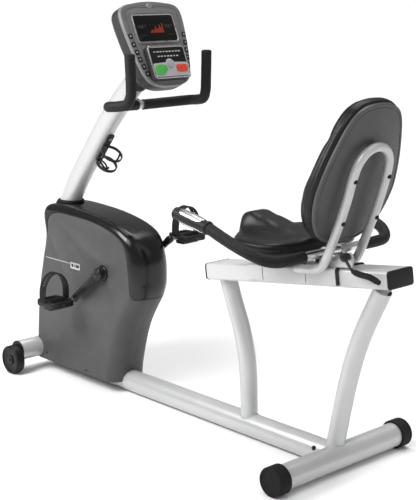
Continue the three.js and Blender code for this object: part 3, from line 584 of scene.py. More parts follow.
def sweep(line, section, shrink=None, up=(0, 0, 1), round_ends=0.0):
    """A section of (x, y) carried along a line without twisting; shrink scales it along the way."""
    line = [Vector(p) for p in line]
    tangents = []
    for i in range(len(line)):
        before = line[max(i - 1, 0)]
        after = line[min(i + 1, len(line) - 1)]
        tangents.append((after - before).normalized())
    side = Vector(up).cross(tangents[0])
    if side.length < 1e-3:
        side = Vector((1, 0, 0)).cross(tangents[0])
    side.normalize()
    rings = []
    for i, (point, along) in enumerate(zip(line, tangents)):
        side = (side - along * side.dot(along)).normalized()
        other = along.cross(side)
        scale = shrink(i / (len(line) - 1)) if shrink else 1
        rings.append([point + (side * x + other * y) * scale for x, y in section])
    if round_ends:
        rings = rounded_end(rings, line[0], -tangents[0], round_ends)[::-1]
        rings = rounded_end(rings, line[-1], tangents[-1], round_ends)[::-1]
    return stacked(rings)


def rounded_end(rings, centre, outward, radius, steps=4):
    """Adds shrinking rings past the first ring, so that a bar ends in a soft edge."""
    first = rings[0] if (sum(rings[0], Vector()) / len(rings[0]) - centre).length < 1 else rings[-1]
    ordered = rings if first is rings[0] else rings[::-1]
    reach = max((p - centre).length for p in first)
    caps = []
    for i in range(1, steps + 1):
        angle = math.pi / 2 * i / steps
        scale = 1 - radius / reach * (1 - math.cos(angle))
        push = outward * radius * math.sin(angle)
        caps.append([centre + (p - centre) * scale + push for p in first])
    return caps[::-1] + ordered


def tube(points, radius, steps=8, sides=32, soft=1.0, shrink=None):
    return sweep(smooth_line(points, steps), circle(radius, sides), shrink, round_ends=soft)


def mirror_y(points):
    return [(p[0], -p[1], p[2]) for p in points]


def both_halves(left_half, centre=None):
    """A left half path, its middle point and the mirrored right half."""
    return list(left_half) + ([centre] if centre else []) + mirror_y(left_half)[::-1]


def screw_head(radius, height, hollow=0.5):
    """A button head with a hexagon socket sunk in it."""
    outer = rim_profile(radius, 0, height, min(radius, height) * 0.55)[:-1]
    socket = [(radius * hollow, height - 0.2), (radius * hollow, height * 0.35), (0, height * 0.3)]
    return lathe(outer + socket, 24)


# ---------------------------------------------------------------- stage, camera and light
VIEW_AZIMUTH = math.radians(47.08)
VIEW_ELEVATION = math.radians(12.6)
VIEW_DISTANCE = 3.783
VIEW_TARGET = Vector((0.0568, 0.0014, 0.5569))
VIEW_LENS = 87.65


def add_camera():
    camera = bpy.data.cameras.new("camera")
    camera.lens = VIEW_LENS
    camera.sensor_width = 36
    camera.clip_end = 500
    obj = bpy.data.objects.new("camera", camera)
    back = Vector(
        (
            math.sin(VIEW_AZIMUTH) * math.cos(VIEW_ELEVATION),
            -math.cos(VIEW_AZIMUTH) * math.cos(VIEW_ELEVATION),
            math.sin(VIEW_ELEVATION),
        )
    )
    obj.location = VIEW_TARGET + back * VIEW_DISTANCE
    obj.rotation_mode = "QUATERNION"
    obj.rotation_quaternion = (-back).to_track_quat("-Z", "Y")
    bpy.context.scene.collection.objects.link(obj)
    bpy.context.scene.camera = obj


def add_sun(name, azimuth, elevation, strength, angle):
    """A soft distant light; azimuth 0 stands on the rider's left, 90 behind the seat."""
    light = bpy.data.lights.new(name, "SUN")
    light.energy = strength
    light.angle = math.radians(angle)
    obj = bpy.data.objects.new(name, light)
    a, e = math.radians(azimuth), math.radians(elevation)
    towards = Vector((math.sin(a) * math.cos(e), -math.cos(a) * math.cos(e), math.sin(e)))
    obj.rotation_mode = "QUATERNION"
    obj.rotation_quaternion = towards.to_track_quat("Z", "Y")
    bpy.context.scene.collection.objects.link(obj)


def add_softbox(name, place, target, size, power):
    """A square studio light that hangs near the object."""
    light = bpy.data.lights.new(name, "AREA")
    light.energy = power
    light.size = size * MM
    obj = bpy.data.objects.new(name, light)
    obj.location = Vector(place) * MM
    obj.rotation_mode = "QUATERNION"
    obj.rotation_quaternion = (Vector(place) - Vector(target)).to_track_quat("Z", "Y")
    bpy.context.scene.collection.objects.link(obj)


def add_stage():
    world = bpy.data.worlds.new("studio")
    world.use_nodes = True
    background = world.node_tree.nodes["Background"]
    background.inputs["Color"].default_value = (1, 1, 1, 1)
    background.inputs["Strength"].default_value = 0.3
    bpy.context.scene.world = world
    bpy.context.scene.view_settings.view_transform = "Standard"
    add_sun("key", 12, 42, 1.0, 30)
    add_sun("fill", 95, 30, 0.3, 50)
    add_sun("top", 200, 74, 1.9, 45)
    add_softbox("front_softbox", (-700, -1350, 1650), (-420, 0, 420), 900, 34)
    size = 400
    corners = [(-size, -size, 0), (size, -size, 0), (size, size, 0), (-size, size, 0)]
    mesh = bpy.data.meshes.new("floor")
    mesh.from_pydata(corners, [], [(0, 1, 2, 3)])
    mesh.materials.append(floor_paint())
    floor = bpy.data.objects.new("floor", mesh)
    bpy.context.scene.collection.objects.link(floor)


add_camera()
add_stage()


# ---------------------------------------------------------------- base frame
MID_POST = (
    (245, 0, 50), (244, 0, 120), (239, 0, 212), (229, 0, 274), (208, 0, 344), (181, 0, 405),
    (152, 0, 480), (142, 0, 506),
)
REAR_POST = (
    (592, 0, 45), (603, 0, 105), (622, 0, 200), (643, 0, 290), (664, 0, 363), (692, 0, 436),
    (724, 0, 503), (752, 0, 560),
)
POST_R = 27


def add_tubes():
    beam = [(FRONT_TUBE.x + 8, 0, BEAM_Z), (REAR_TUBE.x - 8, 0, BEAM_Z)]
    solid = sweep(beam, circle(TUBE_R, 72))
    piece("main_tube", solid, SILVER, "base", ["main_beam"])
    for name, node, centre, half in (
        ("front_cross_tube", "front_stabilizer", FRONT_TUBE, FRONT_HALF),
        ("rear_cross_tube", "rear_stabilizer", REAR_TUBE, REAR_HALF),
    ):
        line = [(centre.x, -half, centre.z), (centre.x, half, centre.z)]
        piece(name, sweep(line, circle(TUBE_R, 72)), SILVER, "base", [node])
    for name, node, path in (
        ("mid_post_tube", "mid_seat_post", MID_POST),
        ("rear_post_tube", "rear_seat_post", REAR_POST),
    ):
        solid = tube(path, POST_R, 8, 48, soft=0)
        piece(name, solid, SILVER, "base", [node])


def bead_section(index):
    """The ripple of a weld bead, from 0.75 to 1."""
    return 0.875 + 0.125 * math.sin(index * 1.9)


def weld(name, line, radius=2.6):
    """A rippled bead along a closed line."""
    points = [Vector(p) for p in line]
    count = len(points)
    rings = []
    for i in range(count):
        along = (points[(i + 1) % count] - points[i - 1]).normalized()
        side = Vector((0, 0, 1)).cross(along)
        side = side.normalized() if side.length > 0.1 else Vector((1, 0, 0))
        other = along.cross(side)
        size = radius * bead_section(i)
        rings.append([points[i] + side * x * size + other * y * size for x, y in circle(1, 8)])
    vertices = [v for ring in rings for v in ring]
    faces = []
    for i in range(count):
        after = (i + 1) % count
        for k in range(8):
            turn = (k + 1) % 8
            faces.append([i * 8 + k, i * 8 + turn, after * 8 + turn, after * 8 + k])
    piece(name, (vertices, faces), SILVER, "base")


def add_welds():
    turns = [2 * math.pi * i / 120 for i in range(120)]
    for name, x in (("mid_post_weld", MID_POST[0][0]), ("rear_post_weld", 598)):
        line = []
        for t in turns:
            y = POST_R * math.sin(t)
            top = BEAM_Z + math.sqrt(TUBE_R**2 - y**2)
            line.append((x + (POST_R + 0.5) * math.cos(t), y * 1.02, top + 0.5))
        if name.startswith("rear"):
            line = [(p[0], p[1], max(p[2], rear_tube_top(p[0]))) for p in line]
        weld(name, line)
    line = []
    for t in turns:
        z = BEAM_Z + (TUBE_R + 0.3) * math.sin(t)
        reach = math.sqrt(max(TUBE_R**2 - (z - REAR_TUBE.z) ** 2, 0))
        line.append((REAR_TUBE.x - reach - 0.6, (TUBE_R + 0.3) * math.cos(t), z))
    weld("beam_end_weld", line, 2.2)


def rear_tube_top(x):
    reach = abs(x - REAR_TUBE.x)
    if reach >= TUBE_R:
        return 0
    return REAR_TUBE.z + math.sqrt(TUBE_R**2 - reach**2) + 0.5


def screw(name, at, outward, radius=7, height=4, body="base", material=None):
    """A dark socket screw whose head stands on a surface."""
    place = aimed(at, outward)
    washer = disc(radius * 1.35, -1.5, 0.8, 0.4, 32)
    solid = joined(washer, moved(screw_head(radius, height), Matrix.Translation((0, 0, 0.6))))
    return piece(name, solid, material or TEXTURED_BLACK, body, place=place)


def add_frame_screws():
    angle = math.radians(26)
    for name, sign in SIDES:
        outward = Vector((0, sign * math.cos(angle), math.sin(angle)))
        at = Vector((REAR_TUBE.x - 69, 0, BEAM_Z)) + outward * TUBE_R
        screw("beam_screw_" + name, at, outward, 5.5, 3)
    screw("post_screw", Vector((775, 0, 553)), (0.87, 0, -0.49), 5.5, 3)


def add_rear_feet():
    for side, sign in SIDES:
        node = "rear_foot_" + side
        low, high = node_box(node)
        outer = max(abs(low.y), abs(high.y))
        radius = (high.z - low.z) / 2 + 0.2
        start = REAR_HALF - 9
        profile = [(TUBE_R + 0.4, start), (radius - 1.5, start), (radius, start + 1.5)]
        profile += [(radius, outer - 12), (radius - 0.8, outer - 11.2), (radius - 0.8, outer - 9.5)]
        profile += [(radius, outer - 8.7), (radius, outer - 5)]
        for i in range(1, 6):
            turn = math.pi / 2 * i / 5
            profile.append((radius - 5 * (1 - math.cos(turn)), outer - 5 + 5 * math.sin(turn)))
        profile += [(radius - 8, outer), (radius - 9, outer - 1.2), (radius - 14, outer - 1.6)]
        profile += [(0, outer - 1.6), (0, outer - 8), (TUBE_R + 0.4, outer - 8)]
        place = across(REAR_TUBE.x, REAR_TUBE.z, sign)
        vertices, faces = lathe(profile, 72)
        vertices = [place @ Vector(v) for v in vertices]
        vertices = [Vector((v.x, v.y, max(v.z, 0.0))) for v in vertices]
        piece("rear_cap_" + side, (vertices, faces), RUBBER, "base", [node])


def add_wheels():
    wheel = middle("transport_wheel_left")
    radius = (node_box("transport_wheel_left")[1].z - node_box("transport_wheel_left")[0].z) / 2
    for side, sign in SIDES:
        low, high = node_box("transport_wheel_" + side)
        near, far = sorted((abs(low.y), abs(high.y)))
        place = across(wheel.x, wheel.z, sign)
        profile = [(9.5, near), (radius - 4, near)]
        for i in range(1, 6):
            turn = math.pi / 2 * i / 5
            profile.append((radius - 4 * (1 - math.sin(turn)), near + 4 * (1 - math.cos(turn))))
        for i in range(6):
            turn = math.pi / 2 * i / 5
            profile.append((radius - 6 * (1 - math.cos(turn)), far - 6 + 6 * math.sin(turn)))
        profile += [(radius - 9, far), (radius - 10.5, far - 1.2), (radius - 11, far - 3)]
        profile += [(radius - 13, far - 4), (radius - 20, far - 3.6), (20, far - 6), (9.5, far - 6)]
        tyre = lathe(profile, 72)
        piece("wheel_" + side, tyre, TYRE, "wheel_" + side, ["transport_wheel_" + side], place)
        hub = joined(
            disc(15.8, far - 6.2, far - 1.8, 1.2),
            moved(screw_head(7, 3), Matrix.Translation((0, 0, far - 2.2))),
        )
        tube_centre = place.to_3x3().inverted() @ Vector((0, 0, FRONT_TUBE.z - wheel.z))
        lid = moved(disc(TUBE_R, FRONT_HALF + 0.2, near - 2, 1.2, 64), Matrix.Translation(tube_centre))
        cheek = disc(26, FRONT_HALF + 0.2, near - 1.6, 1, 48)
        pin = disc(8.5, near - 3, far - 4, 0.5, 24)
        solid = joined(hub, lid, cheek, pin)
        node = "wheel_bracket_" + side
        piece("wheel_carrier_" + side, solid, TEXTURED_BLACK, "base", [node], place)


# ---------------------------------------------------------------- seat rail
def rail_slab(outline, start, end, edge=0.0, bottom=None):
    return slab(outline, start, end, edge, bottom_edge=bottom)


def add_rail():
    half_high = RAIL_HIGH / 2
    section = rounded(RAIL_HALF, -half_high, half_high, 9, 8)
    solid = rail_slab(section, 7.8, RAIL_LENGTH - 7.8, 0.8)
    piece("rail_beam", solid, RAIL_PAINT, "base", ["seat_rail"], RAIL_SECTION)
    front = rail_slab(rounded(RAIL_HALF, -half_high, half_high, 9, 8), 0, 7.4, 0.6, 3.5)
    rim = rail_slab(rounded(RAIL_HALF + 0.7, -half_high - 0.7, half_high + 0.7, 9.6, 8), 5.5, 8.2, 0.5)
    solid = joined(front, rim)
    piece("rail_nose_cap", solid, TEXTURED_BLACK, "base", ["rail_front_cap"], RAIL_SECTION)
    end = RAIL_LENGTH
    cap = rail_slab(rounded(RAIL_HALF, -half_high, half_high, 9, 8), end - 7.4, end, 2.5, 0.6)
    plate = rail_slab(rounded(RAIL_HALF - 7, -half_high + 7, half_high - 7, 4, 6), end - 3, end - 0.2, 0.8)
    solid = joined(cap, plate)
    piece("rail_tail_cap", solid, TEXTURED_BLACK, "base", ["rail_rear_cap"], RAIL_SECTION)


# ---------------------------------------------------------------- mast
MAST_PATH = (
    (-668, 0, 590), (-648, 0, 622), (-600, 0, 698), (-512, 0, 810), (-422, 0, 921),
    (-346, 0, 999), (-290, 0, 1050), (-228, 0, 1100),
)
MAST_R = 36


def mast_line(steps=8):
    return smooth_line(MAST_PATH, steps)


def add_mast():
    solid = sweep(mast_line(), circle(MAST_R, 72))
    piece("mast_tube", solid, SILVER, "base", ["mast"])
    rings = []
    for z, extra in ((600, 9), (617, 9), (621, 8.6), (624, 7.4), (626, 5), (627, 1), (626, -0.5)):
        x = MAST_PATH[0][0] + (z - MAST_PATH[0][2]) * 0.627
        rings.append([(x + 1.18 * a, b, z) for a, b in circle(MAST_R + extra, 72)])
    piece("mast_collar", stacked(rings), RUBBER, "base", ["mast_boot"])


# ---------------------------------------------------------------- drive housing
SHROUD_HALF = 78
SHROUD_BOTTOM = 39
SHROUD_SIDE_VIEW = (
    (-720, -60), (-560, -60), (-400, -60), (-330, -60), (-328, 20), (-323, 70), (-308, 130),
    (-291, 188), (-270, 240), (-240, 292), (-206, 346), (-193, 384), (-190, 426), (-195, 482),
    (-211, 524), (-242, 557), (-292, 580), (-396, 603), (-532, 615), (-640, 616.5), (-690, 608),
    (-711, 586), (-713, 552), (-708, 500), (-730, 410), (-754, 312), (-769, 200), (-777, 103),
    (-776, 20),
)
GROOVE = (
    (-760, 492), (-692, 500), (-679, 556), (-658, 581), (-620, 591), (-523, 591), (-440, 587),
    (-360, 574), (-300, 555), (-266, 531), (-250, 498), (-241, 440), (-234, 362),
)
COVER_TAIL = ((-170, 352),)


def smoothstep(value, low, high):
    t = min(1, max(0, (value - low) / (high - low)))
    return t * t * (3 - 2 * t)


def shroud_edge(x, z):
    """Depth and width of the rounding of the housing's side edge at a point of its side view."""
    rear = smoothstep(x, -420, -300)
    top = smoothstep(z, 500, 590)
    corner = 8 * smoothstep(-x, 660, 700) * top
    depth = (24 + 26 * rear) * (1 - top) + 27 * top - corner
    width = (24 + 50 * rear) * (1 - top) + 27 * top - corner
    return depth, width


def shroud_skin(name):
    outline = smooth_loop(SHROUD_SIDE_VIEW, 5)
    edges = [shroud_edge(x, z) for x, z in outline]
    steps = 12
    rings = []
    for side in (-1, 1):
        turns = range(steps, -1, -1) if side < 0 else range(steps + 1)
        for k in turns:
            angle = math.pi / 2 * k / steps
            inset = [depth * (1 - math.cos(angle)) for depth, _ in edges]
            loop = offset_outline(outline, inset)
            ring = []
            for (x, z), (_, width) in zip(loop, edges):
                ring.append((x, side * (SHROUD_HALF - width * (1 - math.sin(angle))), z))
            rings.append(ring)
    obj = raw_piece(name, stacked(rings))
    return cropped(obj, (0, 0, SHROUD_BOTTOM), (0, 0, -1))


def cropped(obj, at, outward):
    """Removes what lies beyond a plane and closes the cut."""
    work = bmesh.new()
    work.from_mesh(obj.data)
    everything = work.verts[:] + work.edges[:] + work.faces[:]
    result = bmesh.ops.bisect_plane(
        work, geom=everything, plane_co=Vector(at) * MM, plane_no=outward, clear_outer=True
    )
    rim = [e for e in result["geom_cut"] if isinstance(e, bmesh.types.BMEdge)]
    bmesh.ops.holes_fill(work, edges=rim, sides=0)
    bmesh.ops.recalc_face_normals(work, faces=work.faces)
    work.to_mesh(obj.data)
    work.free()
    return obj


def side_prism(name, outline, half):
    """An outline of (x, z) given its width across the bike."""
    return raw_piece(name, slab(outline, -half, half), UPRIGHT)


def groove_line():
    flat = smooth_line([(x, z, 0) for x, z in GROOVE], 6)
    return [(p.x, p.y) for p in flat]


def ribbon(line, half_width):
    left, right = [], []
    for i, (x, z) in enumerate(line):
        before = line[max(i - 1, 0)]
        after = line[min(i + 1, len(line) - 1)]
        size = math.hypot(after[0] - before[0], after[1] - before[1])
        nx = -(after[1] - before[1]) / size * half_width
        nz = (after[0] - before[0]) / size * half_width
        left.append((x + nx, z + nz))
        right.append((x - nx, z - nz))
    return right + left[::-1]


def add_shroud():
    line = groove_line()
    closed = line + [(-234, 356), (-226, 352), *COVER_TAIL, (-170, 700), (-800, 700), (-800, 492)]
    cover = shroud_skin("drive_cover")
    boolean(cover, side_prism("above", closed, 95), "INTERSECT")
    boolean(cover, side_prism("groove", ribbon(line, 1.0), 95))
    softened(cover, 2.6, 3, 50)
    finish_mesh(cover, COVER_BLACK, "base", ["shroud_cover"], 50)
    for side, sign in SIDES:
        panel = shroud_skin("drive_panel_" + side)
        boolean(panel, side_prism("above", closed, 95))
        gap_line = line + [(-234, 355.5), (-226, 351.2), (-170, 351.2)]
        boolean(panel, side_prism("groove", ribbon(gap_line, 1.3), 95))
        cropped(panel, (0, sign * 0.5, 0), (0, -sign, 0))
        bore = lathe([(0, 50), (27, 50), (27, 90), (0, 90)], 64)
        well = raw_piece("well", bore, across(CRANK.x, CRANK.z, sign))
        boolean(panel, well)
        softened(panel, 1.5, 2, 50)
        node = "shroud_" + side
        finish_mesh(panel, SHROUD_GREY, "base", [node], 50)
    add_shroud_trim()


def add_shroud_trim():
    for side, sign in SIDES:
        place = across(CRANK.x, CRANK.z, sign)
        ring = [(19, 70), (26.4, 70), (26.4, 78.6), (25.2, 80), (22, 80.4), (20, 79.2), (19, 77)]
        piece("crank_seal_" + side, lathe(ring, 64), RUBBER, "base", place=place)
        for index, (x, z) in enumerate(((-710, 66), (-478, 54))):
            at = Vector((x, sign * (SHROUD_HALF - 0.4), z))
            name = f"shroud_screw_{side}_{index}"
            screw(name, at, (0, sign, 0), 3.4, 1.4)
    face = -SHROUD_HALF - 0.1
    stripe = slab(rounded(70, -1, 1, 0.9, 3), -0.3, 0.4, 0.2)
    place = Matrix.Translation((-627, face, 421.5)) @ UPRIGHT
    piece("panel_stripe", stripe, LEGEND_GREY, "base", place=place)
    place = Matrix.Translation((-527, face, 417)) @ UPRIGHT
    badge = slab(rounded(27, -11.5, 11.5, 3, 5), -0.3, 0.9, 0.5)
    piece("panel_badge", badge, TRIM_SILVER, "base", place=place)
    marks = []
    for index, wide in enumerate((5.5, 3, 8)):
        mark = [(x - 15 + 14.5 * index, z) for x, z in rounded(wide, -5.5, 5.5, 1.5, 3)]
        marks.append(slab(mark, 0.5, 1.1, 0.15))
    piece("panel_badge_marks", joined(*marks), OVERLAY_BLACK, "base", place=place)


# ---------------------------------------------------------------- cranks and pedals
ARM_Y = (92, 106)


def arm_outline(length):
    """Side view of a crank arm along +x: a round boss, a waist and a round tip."""
    points = []
    for i in range(13):
        turn = math.radians(70 + 220 * i / 12)
        points.append((20 * math.cos(turn), 20 * math.sin(turn)))
    for x, half in ((34, -13.2), (80, -11.6), (130, -10.6), (155, -11.2)):
        points.append((x, half))
    for i in range(13):
        turn = math.radians(-100 + 200 * i / 12)
        points.append((length + 13 * math.cos(turn), 13 * math.sin(turn)))
    for x, half in ((155, 11.2), (130, 10.6), (80, 11.6), (34, 13.2)):
        points.append((x, half))
    return points


def add_cranks():
    for side, sign in SIDES:
        tip = joint_place("pedal_spin_" + side)
        along = (tip - CRANK).normalized()
        outward = Vector((0, sign, 0))
        place = frame_of(along, outward.cross(along), outward, (CRANK.x, 0, CRANK.z))
        arm = slab(arm_outline(ARM_LENGTH), ARM_Y[0], ARM_Y[1], 3.2, 4)
        boss = disc(20, 82, ARM_Y[0] + 2, 1.5, 48)
        rib = slab([(26, -5), (148, -3.6), (148, 3.6), (26, 5)], ARM_Y[1] - 1, ARM_Y[1] + 0.9, 1.0, 3)
        solid = joined(arm, boss, rib)
        piece("crank_" + side, solid, BLACK_PAINT, "crank", ["crank_arm_" + side], place)
        cap = joined(
            disc(15, ARM_Y[1] - 1, ARM_Y[1] + 2.2, 1.4, 48),
            moved(screw_head(6, 2.4), Matrix.Translation((0, 0, ARM_Y[1] + 1.8))),
        )
        piece("crank_bolt_" + side, cap, BLACK_PAINT, "crank", place=across(CRANK.x, CRANK.z, sign))
        plate = lathe([(9, 81), (23.5, 81), (23.5, 83.2), (22, 84.5), (9, 85)], 56)
        piece("crank_disc_" + side, plate, GLOSS_BLACK, "crank", place=across(CRANK.x, CRANK.z, sign))
        axle = lathe(
            [(0, ARM_Y[1] - 10), (6.5, ARM_Y[1] - 10), (6.5, ARM_Y[1] + 0.5), (10, ARM_Y[1] + 0.5)]
            + [(10, ARM_Y[1] + 5), (6.5, ARM_Y[1] + 5), (6.5, 222), (5.5, 223), (0, 223)],
            32,
        )
        node = "pedal_axle_" + side
        piece("pedal_pin_" + side, axle, STEEL, "crank", [node], across(tip.x, tip.z, sign))
        add_pedal(side, sign, tip)


PEDAL_Y = 178
PEDAL_HALF_LONG = 52.5
PEDAL_HALF_WIDE = 46


def add_pedal(side, sign, tip):
    place = Matrix.Translation((tip.x, PEDAL_Y * sign, tip.z))
    outline = rounded(PEDAL_HALF_LONG, -PEDAL_HALF_WIDE, PEDAL_HALF_WIDE, 19, 8)
    body = raw_piece("pedal_body_" + side, slab(outline, -10, 10, 4.5, 4), place)
    for end in (-1, 1):
        hole = [(x + end * 27.5, y) for x, y in rounded(12.5, -33, 33, 6, 4)]
        boolean(body, raw_piece("hole", slab(hole, -20, 20), place))
    softened(body, 1.2, 2, 50)
    finish_mesh(body, TEXTURED_BLACK, "pedal_" + side, ["pedal_" + side])
    solids = []
    for end in (-1, 1):
        for row in range(5):
            y = -26 + 13 * row
            bar = [(x + end * 27.5, v + y) for x, v in rounded(13.5, -2, 2, 1, 2)]
            solids.append(slab(bar, -7.5, 7.5, 1))
    barrel = lathe(rim_profile(12.5, -45.5, 45.5, 2.5), 40)
    solids.append(moved(barrel, frame_of((1, 0, 0), (0, 0, -1), (0, 1, 0))))
    weight = slab(rounded(20, -37, 37, 8, 5), -22, -8, 4, bottom_edge=5)
    solids.append(weight)
    for end in (-1, 1):
        for row in range(8):
            y = -35 + 10 * row
            stud = moved(disc(2.1, 9.5, 11.6, 0.8, 14), Matrix.Translation((end * 46.2, y, 0)))
            solids.append(stud)
    name = "pedal_tread_" + side
    piece(name, joined(*solids), TEXTURED_BLACK, "pedal_" + side, place=place)
    reflector = slab(rounded(9, -5, 5, 1.5, 3), -1, 1.6, 0.6)
    solids = []
    for end in (-1, 1):
        spot = frame_of((0, 1, 0), (0, 0, 1), (end, 0, 0), (end * (PEDAL_HALF_LONG - 0.6), 0, 0))
        solids.append(moved(reflector, spot))
    piece("pedal_inset_" + side, joined(*solids), GLOSS_BLACK, "pedal_" + side, place=place)
    add_strap(side, sign, place)


def add_strap(side, sign, place):
    """An adjustable moulded strap: an arch over the foot with a row of holes."""
    half = PEDAL_HALF_WIDE + 2
    line = [(0, half, 9), (0, half, 22)]
    for i in range(25):
        turn = math.pi * i / 24
        line.append((0, half * math.cos(turn), 34 + 68 * math.sin(turn)))
    line += [(0, -half, 22), (0, -half, 9)]
    section = rounded(16, -1.5, 1.5, 1.2, 3)
    shift = Matrix.Translation((-5, 0, 0))
    band = raw_piece("strap_" + side, strap_band(line, section), place @ shift)
    for index in range(6):
        turn = math.radians(28 + 9 * index)
        at = Vector((0, half * math.cos(turn) * sign, 34 + 68 * math.sin(turn)))
        outward = Vector((0, math.cos(turn) * sign * 68, half * math.sin(turn)))
        slot = [(x, y) for x, y in rounded(6, -2.2, 2.2, 2, 4)]
        hole = raw_piece("hole", slab(slot, -6, 6), place @ shift @ aimed(at, outward))
        boolean(band, hole)
    finish_mesh(band, RUBBER, "pedal_" + side, ["pedal_strap_" + side])
    solids = []
    for edge in (-1, 1):
        bead = [Vector((edge * 15.4, p[1], p[2])) for p in line]
        solids.append(sweep(bead, circle(1.7, 8), up=(1, 0, 0)))
    lug = slab(rounded(14, -7, 7, 2.5, 4), -2.6, 2.6, 1.2)
    spot = Vector((0, -sign * (half + 0.6), 17))
    solids.append(moved(lug, aimed(spot, (0, -sign, 0))))
    spot = Vector((0, sign * (half + 0.6), 17))
    solids.append(moved(lug, aimed(spot, (0, sign, 0))))
    name = "strap_rims_" + side
    piece(name, joined(*solids), RUBBER, "pedal_" + side, place=place @ shift)


def strap_band(line, section):
    """A flat band along a line in a plane of constant x."""
    rings = []
    for i, point in enumerate(line):
        before = Vector(line[max(i - 1, 0)])
        after = Vector(line[min(i + 1, len(line) - 1)])
        along = (after - before).normalized()
        normal = Vector((1, 0, 0)).cross(along)
        rings.append([Vector(point) + Vector((x, 0, 0)) + normal * y for x, y in section])
    return stacked(rings)


# ---------------------------------------------------------------- console
CONSOLE_HALF = (
    (0, -137), (45, -134), (76, -121), (92, -100), (106, -55), (118, 10), (125, 85), (122, 112),
    (108, 129), (60, 139.5), (0, 144),
)
PODIUM = 20


def console_outline(scale=1.0):
    half = [(x * scale, y * scale) for x, y in CONSOLE_HALF[1:-1]]
    low = (0, CONSOLE_HALF[0][1] * scale)
    high = (0, CONSOLE_HALF[-1][1] * scale)
    points = [low] + half + [high] + [(-x, y) for x, y in half[::-1]]
    return smooth_loop(points, 6)


def console_half_width(v):
    """Half the console's width at a height on its face."""
    sides = CONSOLE_HALF[2:8]
    for (x0, y0), (x1, y1) in zip(sides, sides[1:]):
        if y0 <= v <= y1:
            return x0 + (x1 - x0) * (v - y0) / (y1 - y0)
    return sides[0][0]


def framed(outer, inner, low, high, edge=0.6):
    """A frame between two outlines of equal length."""
    rings = []
    for loop, heights in ((outer, (low, high - edge)), (offset_outline(outer, edge), (high,))):
        rings.extend([[(x, y, h) for x, y in loop] for h in heights])
    for loop, heights in ((offset_outline(inner, -edge), (high,)), (inner, (high - edge, low))):
        rings.extend([[(x, y, h) for x, y in loop] for h in heights])
    count = len(outer)
    vertices = [Vector(v) for ring in rings for v in ring]
    faces = []
    for level in range(len(rings)):
        following = (level + 1) % len(rings)
        for i in range(count):
            after = (i + 1) % count
            faces.append(
                [
                    level * count + i,
                    level * count + after,
                    following * count + after,
                    following * count + i,
                ]
            )
    return vertices, faces


def window_outline(grow_by=0.0, corner=7):
    """The display's outline, a little bowed at its top and bottom."""
    wide, low, high = 79.5 + grow_by, 12 - grow_by, 96 + grow_by
    points = []
    for x, y in rounded(wide, low, high, corner + grow_by, 6):
        bow = 3.2 * (1 - (x / wide) ** 2)
        points.append((x, y + (bow if y > (low + high) / 2 else -bow * 0.4)))
    return points


def add_console_back():
    outline = console_outline()
    back = moved(slab(outline, -64, -14.4, 0.8, 8, bottom_edge=24), CONSOLE)
    collar = sweep(mast_line()[-7:-1], circle(MAST_R + 5, 56), round_ends=2)
    ring = sweep(mast_line()[-8:-6], circle(MAST_R + 3, 56), round_ends=1.5)
    solid = joined(back, collar, ring)
    piece("console_shell", solid, CONSOLE_DARK, "base", ["console_back"])
    vents = []
    for row in range(9):
        strip = rounded(34, -1.4, 1.4, 1.3, 3)
        place = CONSOLE @ Matrix.Translation((0, 84 - 7 * row, -64.3))
        vents.append(moved(slab(strip, -0.2, 1.5, 0.1), place))
    piece("console_vents", joined(*vents), TEXTURED_BLACK, "base")
    for index, (x, y) in enumerate(((-70, 96), (70, 96), (-62, -92), (62, -92))):
        at = CONSOLE @ Vector((x, y, -63.5))
        screw(f"console_screw_{index}", at, -CONSOLE.col[2].to_3d(), 4, 1.6)


def add_console_face():
    outline = console_outline()
    seam = slab(console_outline(0.985), -15, -12, 0)
    piece("console_seam", seam, TEXTURED_BLACK, "base", place=CONSOLE)
    base = slab(outline, -13.4, 0, 5, 5, bottom_edge=0.8)
    body = raw_piece("console_front", base, CONSOLE)
    cutters = [window_outline(0.4)]
    for cutter in cutters:
        boolean(body, raw_piece("window", slab(cutter, -3, 20), CONSOLE))
    boolean(body, raw_piece("trough", framed(trough_outline(2.2), trough_outline(0), -1.6, 9, 0), CONSOLE))
    softened(body, 0.7, 2, 50)
    finish_mesh(body, CONSOLE_GREY, "base", ["console_face"], 45)
    trim = framed(window_outline(5.2), window_outline(0.6), -1, 1.6, 1.1)
    piece("window_trim", trim, TRIM_SILVER, "base", place=CONSOLE)
    lens = slab(window_outline(0.2), -2.4, 0.7, 0.6)
    piece("window_lens", lens, LENS, "base", ["display_window"], CONSOLE)
    visor = framed(window_outline(9), window_outline(6.2), -1, 2.2, 1.0)
    piece("window_visor", visor, CONSOLE_GREY, "base", place=CONSOLE)
    badge = [(x, y + 128) for x, y in circle(9.5, 32)]
    oval = [(x * 1.25, 128 + (y - 128) * 0.85) for x, y in badge]
    piece("face_badge", slab(oval, -1, 1.6, 1.0), TRIM_SILVER, "base", place=CONSOLE)
    add_display_marks()
    add_podium()
    add_edge_keys()


def trough_outline(grow_by):
    """The centre panel's border, a shallow groove inside the key columns."""
    half = []
    for v in (-118, -90, -50, -10, 30, 70, 100, 109):
        half.append((console_half_width(max(v, -120)) - 21 + grow_by, v))
    low = (0, -128 - grow_by)
    high = (0, 122 + grow_by)
    points = [low, (50, -127 - grow_by)] + half + [(70, 121 + grow_by), high]
    mirrored_half = [(-x, y) for x, y in points[1:-1]]
    return smooth_loop(points + mirrored_half[::-1], 4)


BAR_HEIGHTS = (6, 9, 7, 12, 18, 11, 15, 22, 17, 27)


